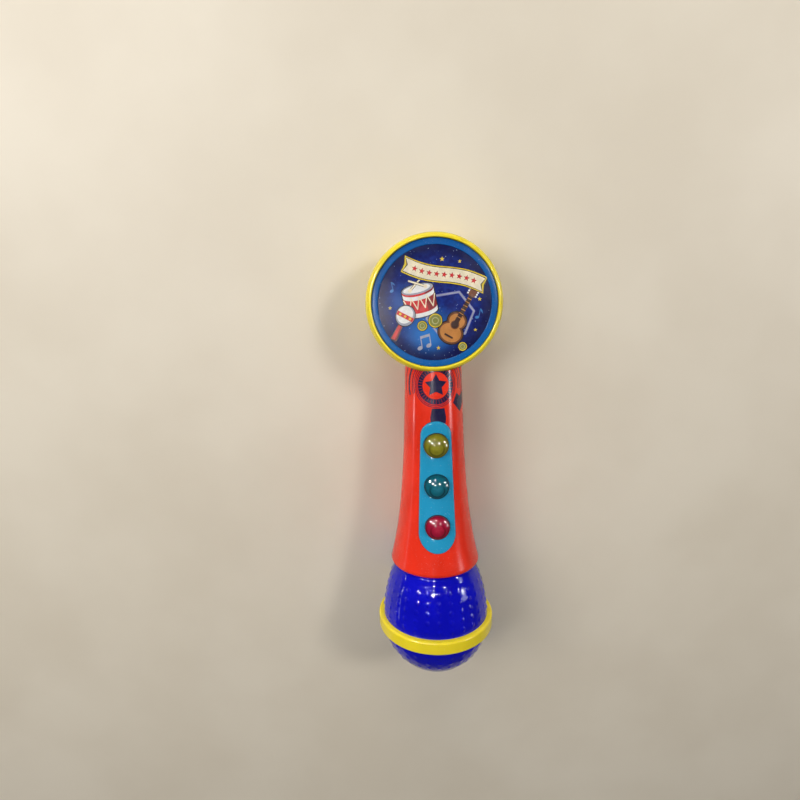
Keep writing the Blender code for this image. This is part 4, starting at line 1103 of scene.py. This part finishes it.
def ribbon_outline(centre, degrees, half_length, half_height, wave, grow=0.0):
    """A gently waving ribbon with swallow-tail ends."""
    stations = np.linspace(-half_length, half_length, 40)

    def middle(x):
        return wave * math.sin(x / half_length * math.pi)

    top = [(x, middle(x) + half_height + grow) for x in stations]
    bottom = [(x, middle(x) - half_height - grow) for x in stations[::-1]]
    notch_right = [(half_length - 1.6 + grow, middle(half_length))]
    notch_left = [(-half_length + 1.6 - grow, middle(-half_length))]
    return turned_about(top + notch_right + bottom + notch_left, centre, degrees)


PICTURE_INKS = {
    "cream": (238, 226, 198), "white": (232, 232, 232), "silver": (158, 162, 178),
    "red": (206, 30, 34), "dark_red": (138, 18, 28), "black": (16, 14, 24),
    "gold": (226, 196, 48), "tan": (196, 130, 62), "brown": (112, 62, 34),
    "dark_brown": (56, 30, 24), "olive": (132, 134, 62), "pale_olive": (176, 176, 120),
    "lavender": (118, 120, 186), "sky": (52, 124, 196),
}


def placer(centre, degrees, size=1.0):
    """A function that moves, turns and scales a drawing's own points onto the sheet."""
    def at(points):
        return turned_about([(x * size, y * size) for x, y in points], centre, degrees)
    return at


def draw_banner(sheet):
    """A waving ribbon with a row of small stars, where the original has a title."""
    centre, tilt = (4.6, 13.4), -15.5
    for ink_name, grow in (("black", 1.1), ("gold", 0.8), ("black", 0.3), ("cream", 0.0)):
        sheet.add(ink_name, ribbon_outline(centre, tilt, 19.6 + grow, 3.1, 1.1, grow))
    for number in range(9):
        x = -14.4 + 3.6 * number
        y = 1.1 * math.sin(x / 19.6 * math.pi)
        spot = turned_about([(x, y)], centre, tilt)[0]
        sheet.add("dark_red", star(spot, 1.55, 90.0 + tilt))
        sheet.add("red", star(spot, 1.25, 90.0 + tilt))


def draw_drum(sheet):
    """A red toy drum seen from above its side, with a zigzag cord and two sticks."""
    at = placer((-7.4, 2.2), 12.0, 1.2)
    half, low, high = 6.4, -5.2, 4.0
    curve = (half, 2.0)
    body = arc((0.0, low), curve, 180.0, 360.0, 20) + arc((0.0, high), curve, 0.0, 180.0, 20)
    sheet.add("black", at([(x * 1.06, y * 1.05) for x, y in body]))
    sheet.add("red", at(body))
    shadow = arc((0.0, low), curve, 294.0, 360.0, 10) + [(half, high), (2.6, high - 1.6)]
    sheet.add("dark_red", at(shadow))
    for z in (low, high - 2.4):
        band = arc((0.0, z), curve, 180.0, 360.0, 20)
        sheet.add("white", at(band + [(x, y + 1.6) for x, y in band[::-1]]))
    cords = [(half * (n / 4.0 - 1.0), low + 1.4 if n % 2 else high - 3.2) for n in range(9)]
    sheet.stroke("cream", at(cords), 0.5)
    sheet.add("silver", at(ellipse((0.0, high), curve)))
    sheet.add("white", at(ellipse((-0.2, high + 0.15), (half - 0.9, 1.5))))
    for start, end in (((-3.0, high), (2.6, high + 4.0)), ((3.4, high + 0.4), (-2.6, high + 3.8))):
        sheet.stroke("black", at([start, end]), 1.2)
        sheet.stroke("cream", at([start, end]), 0.8)
        sheet.add("cream", at(circle(start, 0.8, 14)))


def draw_guitar(sheet):
    """A small tan guitar that leans to the upper right."""
    at = placer((9.0, -11.6), -30.0, 1.14)
    for ink_name, grow in (("black", 0.5), ("brown", 0.0), ("tan", -0.7)):
        sheet.add(ink_name, at(ellipse((0.0, -2.6), (5.4 + grow, 4.6 + grow))))
        sheet.add(ink_name, at(ellipse((0.0, 3.0), (4.1 + grow, 3.7 + grow))))
    sheet.add("brown", at(circle((0.0, 1.2), 1.9, 28)))
    sheet.add("dark_brown", at(circle((0.0, 1.2), 1.5, 28)))
    sheet.add("dark_brown", at(taper(-4.6, 2.0, -3.8, 2.0)))
    sheet.add("dark_brown", at(taper(2.4, 1.0, 15.0, 0.95)))
    sheet.add("brown", at(taper(14.8, 1.5, 18.2, 1.7)))
    for z in (4.6, 6.4, 8.2, 10.0, 11.8, 13.4):
        sheet.add("tan", at(taper(z, 0.95, z + 0.3, 0.95)))
    for z in (15.5, 16.5, 17.5):
        for x in (-1.9, 1.9):
            sheet.add("white", at(circle((x, z), 0.42, 10)))


def draw_disc(sheet, centre, radius):
    """A small round cymbal with a ridge and a cup."""
    sheet.add("black", circle(centre, radius + 0.35, 36))
    sheet.add("gold", circle(centre, radius, 36))
    sheet.add("olive", circle(centre, radius - 0.4, 36))
    sheet.add("pale_olive", circle(centre, radius * 0.52, 28))
    sheet.add("olive", circle(centre, radius * 0.38, 24))


def draw_note(sheet, ink_name, spot, size, degrees=0.0, pair=False):
    """An eighth note or a beamed pair."""
    at = placer(spot, degrees, size)
    sheet.add(ink_name, at(ellipse((0.0, 0.0), (1.25, 0.9), 20.0)))
    sheet.add(ink_name, at(block(0.8, 0.2, 1.2, 5.4)))
    if pair:
        sheet.add(ink_name, at(ellipse((4.2, 0.6), (1.25, 0.9), 20.0)))
        sheet.add(ink_name, at(block(5.0, 0.8, 5.4, 6.0)))
        sheet.add(ink_name, at([(0.8, 4.2), (5.4, 4.8), (5.4, 6.0), (0.8, 5.4)]))
    else:
        sheet.add(ink_name, at([(1.2, 5.4), (1.5, 4.2), (2.9, 2.8), (2.5, 4.3), (1.6, 5.3)]))


def draw_maraca(sheet):
    """A white shaker with a red grip at the lower left."""
    at = placer((-14.6, -6.2), -28.0, 1.1)
    sheet.add("black", at(taper(-11.4, 1.6, -2.0, 1.1)))
    sheet.add("red", at(taper(-11.0, 1.2, -2.0, 0.8)))
    sheet.add("dark_red", at([(0.4, -11.0), (1.2, -11.0), (0.8, -2.0), (0.3, -2.0)]))
    sheet.add("black", at(ellipse((0.0, 0.6), (4.5, 4.9))))
    sheet.add("silver", at(ellipse((0.0, 0.6), (4.1, 4.5))))
    sheet.add("white", at(ellipse((-0.4, 0.9), (3.5, 3.9))))
    sheet.add("red", at([(-3.9, -0.6), (-4.0, 1.2), (4.0, 1.2), (3.9, -0.6)]))
    for x in (-2.4, 0.0, 2.4):
        sheet.add("gold", at(star((x, 0.3), 0.85)))


def picture_sheet():
    sheet = Sheet()
    sheet.add("ground", circle((0.0, 0.0), PICTURE_RADIUS, 160))
    hexagon = arc((7.4, -5.6), (11.6, 11.6), 8.0, 368.0, 6)[:-1]
    sheet.stroke("lavender", hexagon, 1.2, True)
    sheet.stroke("silver", hexagon, 0.6, True)
    draw_drum(sheet)
    draw_maraca(sheet)
    draw_guitar(sheet)
    draw_disc(sheet, (0.2, -8.2), 3.3)
    draw_disc(sheet, (13.4, -21.0), 2.1)
    draw_disc(sheet, (-6.2, -10.6), 2.3)
    draw_note(sheet, "silver", (-7.4, -21.4), 1.05, 8.0, True)
    draw_note(sheet, "sky", (20.4, -7.0), 0.8, -12.0)
    draw_note(sheet, "sky", (-20.6, 6.2), 0.75, 14.0)
    for x, y, radius in ((3.6, 20.6, 1.2), (12.0, 19.4, 0.9), (-21.6, -1.8, 1.0), (21.6, 1.6, 1.1),
                         (1.6, -21.4, 1.1), (19.6, -13.0, 0.9)):
        sheet.add("gold", star((x, y), radius))
    draw_banner(sheet)
    return sheet


def disc_picture():
    """The round printed picture: one flat piece whose faces carry their own inks."""
    looks = [LOOKS["picture_print"]]
    marks = {"ground": 0, None: 0}
    for name, colour in PICTURE_INKS.items():
        marks[name] = len(looks)
        looks.append(ink(f"picture_{name}", srgb(*colour)))
    flat, faces, tops = picture_sheet().parts()
    skin = Skin()
    verts = [skin.mesh.verts.new((x, y, PICTURE_TOP)) for x, y in flat]
    for face, top in zip(faces, tops):
        skin.face([verts[i] for i in face], marks[top])
    edge = circle((0.0, 0.0), PICTURE_RADIUS, 160)
    top, bottom = [[(x, y, z) for x, y in edge] for z in (PICTURE_TOP, PICTURE_BOTTOM)]
    skin.strips([top, bottom])
    skin.polygon(bottom)
    skin.done("disc_picture_print", "picture_print", ["disc_picture"], looks=looks)


EMBLEM = (0.2, 40.1)
PRINT_START = 27.0
PRINT_END = 64.0
PRINT_HALF_WIDTH = 24.0


def ring_piece(centre, inner, outer, start, end):
    return arc(centre, (outer, outer), start, end, 3) + arc(centre, (inner, inner), end, start, 3)


def draw_emblem(sheet):
    """Navy print on the unrolled grip: rings, a star, side arcs, a leaf and a foot."""
    def ring(inner, outer, start=0.0, end=360.0, piece=10.1):
        for number in range(int((end - start) / 10.0)):
            first = start + 10.0 * number
            sheet.add("navy", ring_piece(EMBLEM, inner, outer, first, first + piece))

    ring(7.15, 9.25, piece=9.1)
    for inner, outer in ((6.85, 7.2), (9.2, 9.5), (9.95, 10.25), (10.75, 11.05)):
        ring(inner, outer)
    sheet.add("navy", star(EMBLEM, 5.9, -90.0, 5, 0.52))
    sheet.add("navy", [(-1.9, 51.6), (4.3, 51.6), (5.1, 56.3), (4.9, 59.4), (-2.5, 59.4), (-2.7, 56.3)])
    for inner, outer, start, end in ((15.0, 16.2, 160.0, 230.0), (18.8, 19.3, 170.0, 210.0),
                                     (12.9, 13.3, 160.0, 220.0), (11.8, 12.1, 160.0, 220.0),
                                     (17.0, 18.2, -30.0, 20.0), (14.5, 14.9, -40.0, 10.0),
                                     (13.0, 13.4, -40.0, 10.0)):
        ring(inner, outer, start, end)
    sheet.add("navy", [(12.0, 44.6), (14.9, 46.6), (17.6, 44.2), (19.6, 45.6), (19.0, 50.6), (14.4, 54.6),
                       (9.4, 49.4)])


def handle_print():
    """The printed film: a thin layer that follows the grip's front, drawn on its unrolled surface."""
    sheet = Sheet()
    for station in np.arange(PRINT_START, PRINT_END, 1.0):
        sheet.add(None, taper(station, PRINT_HALF_WIDTH, station + 1.0, PRINT_HALF_WIDTH))
    for across in np.arange(-PRINT_HALF_WIDTH, PRINT_HALF_WIDTH, 1.0):
        sheet.add(None, block(across, PRINT_START, across + 1.0, PRINT_END))
    draw_emblem(sheet)
    flat, faces, tops = sheet.parts()
    stretch = U_SCALE / handle_radius(EMBLEM[1])
    low, high = handle_surface(1, 0.012), handle_surface(1, 0.03)
    kept = [face for face, top in zip(faces, tops) if top == "navy"]
    used = sorted({i for face in kept for i in face})
    skin = Skin()
    upper = {i: skin.mesh.verts.new(high(flat[i][0] * stretch, flat[i][1])) for i in used}
    lower = {i: skin.mesh.verts.new(low(flat[i][0] * stretch, flat[i][1])) for i in used}
    edges = {}
    for face in kept:
        skin.face([upper[i] for i in face])
        skin.face([lower[i] for i in reversed(face)])
        for pair in zip(face, face[1:] + face[:1]):
            key = tuple(sorted(pair))
            edges[key] = None if key in edges else pair
    for first, second in filter(None, edges.values()):
        skin.face((upper[second], upper[first], lower[first], lower[second]))
    skin.done("handle_emblem_print", "orange_plastic", angle=60.0, looks=[PRINT_NAVY])


# ---- head

def studs(height, angle):
    """Height of the grid of small round studs over the dome."""
    station = -height
    row = min(STUD_ROWS, key=lambda spot: abs(spot - station))
    pitch = math.tau / STUD_COLUMNS
    radius = dome_radius(station) if station < EQUATOR else DOME_RADIUS * 0.93
    across = ((angle / pitch + 0.5) % 1.0 - 0.5) * pitch * radius
    away = math.hypot(across, station - row) / STUD_RADIUS
    return STUD_HEIGHT * max(0.0, 1.0 - away * away)


def studded(smooth, bumpy, rest):
    """Rings of a turned profile whose middle part carries the studs."""
    rings = []
    angles = np.linspace(0.0, math.tau, STUD_COLUMNS * 16, endpoint=False)
    for points, raised in ((smooth, False), (bumpy, True), (rest, False)):
        for station, radius in points:
            ring = []
            for angle in angles:
                r = radius + (studs(-station, angle) if raised else 0.0)
                ring.append((r * math.sin(angle), -station, r * math.cos(angle)))
            rings.append(ring)
    return rings


def upper_dome():
    start = DOME_START + SHOULDER_RADIUS
    shoulder_top = dome_radius(start + 0.6)
    shoulder = arc((start, shoulder_top - SHOULDER_RADIUS), (SHOULDER_RADIUS,) * 2, 180.0, 100.0, 10)
    bore = COLLAR_RADIUS - DOME_WALL
    smooth = [(COLLAR_START, bore), (COLLAR_START, COLLAR_RADIUS), (DOME_START, COLLAR_RADIUS)] + shoulder
    bumpy = [(s, dome_radius(s)) for s in np.arange(start + 1.6, RING_START + 0.2, 0.4)]
    inner = [(s, dome_radius(s, -DOME_WALL)) for s in np.linspace(RING_START - 2.0, start + 1.0, 12)]
    outer, hollow = UPPER_SPIGOT
    rest = [(RING_START + 0.2, outer), (RING_END - 0.2, outer), (RING_END - 0.2, hollow),
            (RING_START - 0.8, hollow)] + inner + [(start - 0.4, bore), (COLLAR_START, bore)]
    skin = Skin()
    skin.strips(studded(smooth, bumpy, rest))
    skin.done("head_dome_upper", "blue_plastic", ["head_upper_dome"])


def lower_dome():
    start = RING_END - 0.2
    shell = lower_dome_points(88.0, 0.0, 84)
    bumpy = [(start, shell[0][1])] + [point for point in shell if point[0] > start + 0.1][:-1]
    tip = (shell[-1][0], 0.0)
    inner = lower_dome_points(0.0, 72.0, 16, -DOME_WALL)
    inner[0] = (inner[0][0], 0.0)
    outer, hollow = LOWER_SPIGOT
    end = (inner[-1][0], hollow)
    spigot = [end, (LOWER_SPIGOT_START, hollow), (LOWER_SPIGOT_START, outer), (start, outer)]
    skin = Skin()
    skin.strips(studded(spigot, bumpy, [tip]))
    skin.strips(studded(inner, [], [end]))
    skin.done("head_dome_lower", "blue_plastic", ["head_lower_dome"])


def head_ring():
    """The yellow band, its upper edge rounded more than its lower one."""
    start, end = RING_START - 0.3, RING_END + 0.4
    width, depth = RING_TOP_ROUNDING
    first = arc((start + width, RING_RADIUS - depth), RING_TOP_ROUNDING, 180.0, 90.0, 12)
    small = RING_BOTTOM_ROUNDING
    second = arc((end - small, RING_RADIUS - small), (small, small), 90.0, 0.0, 8)
    profile = [(start, RING_BORE)] + first + second + [(end, RING_BORE)]
    skin = Skin()
    skin.turned([(radius, -station) for station, radius in profile], ROUND_STEPS, "Y")
    skin.done("head_band", "yellow_plastic", ["head_ring"])


# ---- small parts on the back

def cross_screw(name, node, x, y, head_z, body, radius=2.1, height=1.5, length=13.5):
    """A pan-head screw with a tapered cross recess and a threaded shank."""
    skin = Skin()
    dome = arc((radius * 0.55, -height * 0.42), (radius * 0.45, height * 0.58), -90.0, 0.0, 6)
    shank = []
    for step in range(int((length - 2.0) / 0.45)):
        shank.append((1.12 if step % 2 else 0.86, 0.5 + 0.45 * step))
    profile = [(0.0, -height)] + dome + [(radius, 0.0), (1.0, 0.0)] + shank
    profile += [(0.7, length - 1.0), (0.0, length)]
    skin.turned(profile, 28)
    place = Matrix.Translation((x, y, head_z))
    piece = skin.done(name, "steel", [node], body, CRISP_ANGLE, place)
    cross = Skin()
    arm, narrow, depth = radius * 0.62, 0.3, height * 0.6
    quarter = [(arm, narrow), (narrow, narrow), (narrow, arm)]
    outline = []
    for _ in range(4):
        outline += quarter
        quarter = [(-py, px) for px, py in quarter]
    rings = [[(px * grow, py * grow, z) for px, py in outline]
             for grow, z in ((1.0, -height - 0.5), (0.8, depth - height))]
    cross.strips(rings)
    cross.polygon(rings[0])
    cross.polygon(rings[1])
    tool = cross.done(f"{name}_recess", None, place=place, looks=[])
    carve(piece, tool)


def carve(piece, tool):
    """Cut a tool out of a piece and remove the tool."""
    modifier = piece.modifiers.new("cut", "BOOLEAN")
    modifier.operation = "DIFFERENCE"
    modifier.solver = "EXACT"
    modifier.object = tool
    bpy.context.view_layer.update()
    graph = bpy.context.evaluated_depsgraph_get()
    mesh = bpy.data.meshes.new_from_object(piece.evaluated_get(graph))
    piece.modifiers.clear()
    piece.data = mesh
    bpy.data.objects.remove(tool, do_unlink=True)


def back_screws():
    for number, angle in enumerate(DISC_SCREW_ANGLES, 1):
        x, y = around(DISC_SCREW_CIRCLE, math.radians(angle))
        cross_screw(f"disc_fastener_{number}", f"disc_screw_{number}", x, y, DISC_SCREW_HEAD_Z, ROOT_BODY)
    for number, (x, station) in enumerate(HANDLE_SCREWS, 1):
        cross_screw(f"handle_fastener_{number}", f"handle_screw_{number}", x, -station,
                    HANDLE_SCREW_HEAD_Z, ROOT_BODY, length=19.5)
    cross_screw("cover_fastener", "battery_door_screw", 0.0, -DOOR_SCREW_STATION, DOOR_SCREW_HEAD_Z,
                "cover_screw", 2.2, 1.4, 11.5)


def power_knob():
    """The slide switch's knob: a ridged button on a wider foot."""
    low, high, top, bottom = -2.0, 2.0, -16.4, -12.6
    ridges = []
    for step in range(5):
        y = low + 0.35 + 0.8 * step
        ridges += [(y, top + 0.35), (y + 0.12, top), (y + 0.28, top), (y + 0.4, top + 0.35)]
    ridges = [point for point in ridges if point[0] < high - 0.05]
    outline = [(low, bottom), (low, top + 0.45)] + ridges + [(high, top + 0.45), (high, bottom)]
    outline += [(3.6, bottom), (3.6, -11.8), (-3.6, -11.8), (-3.6, bottom)]
    skin = Skin()
    start = -POWER_STATION - POWER_TRAVEL / 2.0
    half, bevel = 2.0, 0.15
    rings = [[(x, start + y * grow, z) for y, z in outline]
             for x, grow in ((-half, 0.97), (-half + bevel, 1.0), (half - bevel, 1.0), (half, 0.97))]
    skin.strips(rings)
    skin.polygon(rings[0])
    skin.polygon(rings[-1])
    skin.done("power_slider", "black_plastic", ["power_switch_knob"], "power_knob", 30.0)


# ---- carried-over CAD nodes

def dress_cad_nodes():
    """Give each CAD node that stays in view the material of its slot."""
    for row in frame["record"]["subparts"]:
        node = frame["nodes"][row["node"]]
        look = LOOKS[row["material_slot"]]
        if not node.material_slots:
            node.data.materials.append(look)
        for slot in node.material_slots:
            slot.material = look


# ---- stage, lights and camera

FLOOR_HALF = 1.2


def floor_look():
    g = Graph("pale_floor")
    base = g.mix(g.ramp(g.noise(0.01, 3.0), 0.3, 0.7), srgb(222, 212, 194), srgb(230, 221, 204))
    g.set(Base_Color=base, Roughness=g.ramp(g.noise(0.002, 3.0), 0.3, 0.7, 0.6, 0.64))
    return g.material


def stage():
    data = bpy.data.meshes.new("floor")
    corners = [(x, y, 0.0) for x, y in block(-FLOOR_HALF, -FLOOR_HALF, FLOOR_HALF, FLOOR_HALF)]
    data.from_pydata(corners, [], [(0, 1, 2, 3)])
    data.materials.append(floor_look())
    floor = linked("floor", data)


AIM = Vector((0.0, 0.0, 0.02))
WARM = (1.0, 0.97, 0.92)
COOL = (0.93, 0.96, 1.0)

# Name, place in metres, size in metres, power in watts and colour.
SHADING_LIGHTS = (
    ("key", (0.6, 0.45, 0.75), (0.2, 0.2), 3.4, WARM),
    ("fill", (-0.62, 0.3, 0.7), (0.4, 0.5), 4.8, WARM),
    ("front", (0.0, -0.7, 0.8), (0.5, 0.4), 0.4, WARM),
    ("back", (-0.1, 0.95, 0.5), (0.5, 0.4), 3.2, WARM),
)
GLOSS_LIGHTS = (
    ("window_right", (0.87, -0.01, 0.46), (0.085, 0.1), 0.8, COOL),
    ("window_right_low", (0.87, -0.1, 0.46), (0.08, 0.2), 0.3, COOL),
    ("window_left", (-0.87, -0.09, 0.1), (0.06, 0.03), 0.2, COOL),
    ("window_left_low", (-0.87, -0.28, 0.1), (0.3, 0.035), 0.08, COOL),
    ("lamp_left", (-0.55, 0.42, 0.6), (0.08, 0.08), 6.5, WARM),
    ("lamp_middle", (-0.1, 0.6, 0.7), (0.08, 0.05), 1.6, WARM),
    ("lamp_right", (0.72, 0.27, 0.5), (0.07, 0.07), 3.6, WARM),
    ("lamp_over", (-0.12, 0.14, 0.9), (0.03, 0.03), 1.8, WARM),
    ("lamp_high_left", (-0.36, 0.3, 0.85), (0.05, 0.05), 3.0, WARM),
    ("lamp_high_right", (0.3, 0.26, 0.85), (0.05, 0.05), 1.4, WARM),
)


def soft_box(name, place, size, power, colour, reflected):
    """A rectangular light that faces the object and serves either reflections or shading."""
    data = bpy.data.lights.new(name, "AREA")
    data.shape = "RECTANGLE"
    data.size, data.size_y = size
    data.energy = power
    data.color = colour
    light = linked(name, data)
    light.location = place
    light.rotation_euler = (AIM - Vector(place)).to_track_quat("-Z", "Y").to_euler()
    light.visible_glossy = light.visible_transmission = reflected
    light.visible_diffuse = not reflected


def world():
    """A pale surround that lights and mirrors less than it shows to the camera."""
    made = bpy.data.worlds.new("studio")
    made.use_nodes = True
    tree = made.node_tree
    background = tree.nodes["Background"]
    background.inputs["Color"].default_value = (0.93, 0.95, 1.0, 1.0)
    seen = tree.nodes.new("ShaderNodeLightPath").outputs["Is Camera Ray"]
    strength = tree.nodes.new("ShaderNodeMapRange")
    strength.inputs["To Min"].default_value, strength.inputs["To Max"].default_value = 0.1, 0.7
    tree.links.new(seen, strength.inputs["Value"])
    tree.links.new(strength.outputs[0], background.inputs["Strength"])
    bpy.context.scene.world = made


def lights():
    for row in SHADING_LIGHTS:
        soft_box(*row, reflected=False)
    for row in GLOSS_LIGHTS:
        soft_box(*row, reflected=True)
    world()
    bpy.context.scene.view_settings.view_transform = "Standard"


CAMERA_PLACE = (-19.96, 104.56, 276.84)
CAMERA_TURN = (-15.15, -0.829, -1.145)
CAMERA_LENS = 22.5
CAMERA_SENSOR = 36.0


def camera():
    data = bpy.data.cameras.new("camera")
    data.lens = CAMERA_LENS
    data.sensor_width = CAMERA_SENSOR
    data.clip_start, data.clip_end = 0.01, 10.0
    made = linked("camera", data)
    made.location = [value * MM for value in CAMERA_PLACE]
    made.rotation_euler = [math.radians(value) for value in CAMERA_TURN]
    bpy.context.scene.camera = made


dress_cad_nodes()
front_shell()
rear_shell()
battery_door()
button_panel()
for number in range(3):
    button_cap(number)
disc_front()
disc_rear()
face_plate()
disc_picture()
handle_print()
upper_dome()
lower_dome()
head_ring()
back_screws()
power_knob()
stage()
lights()
camera()
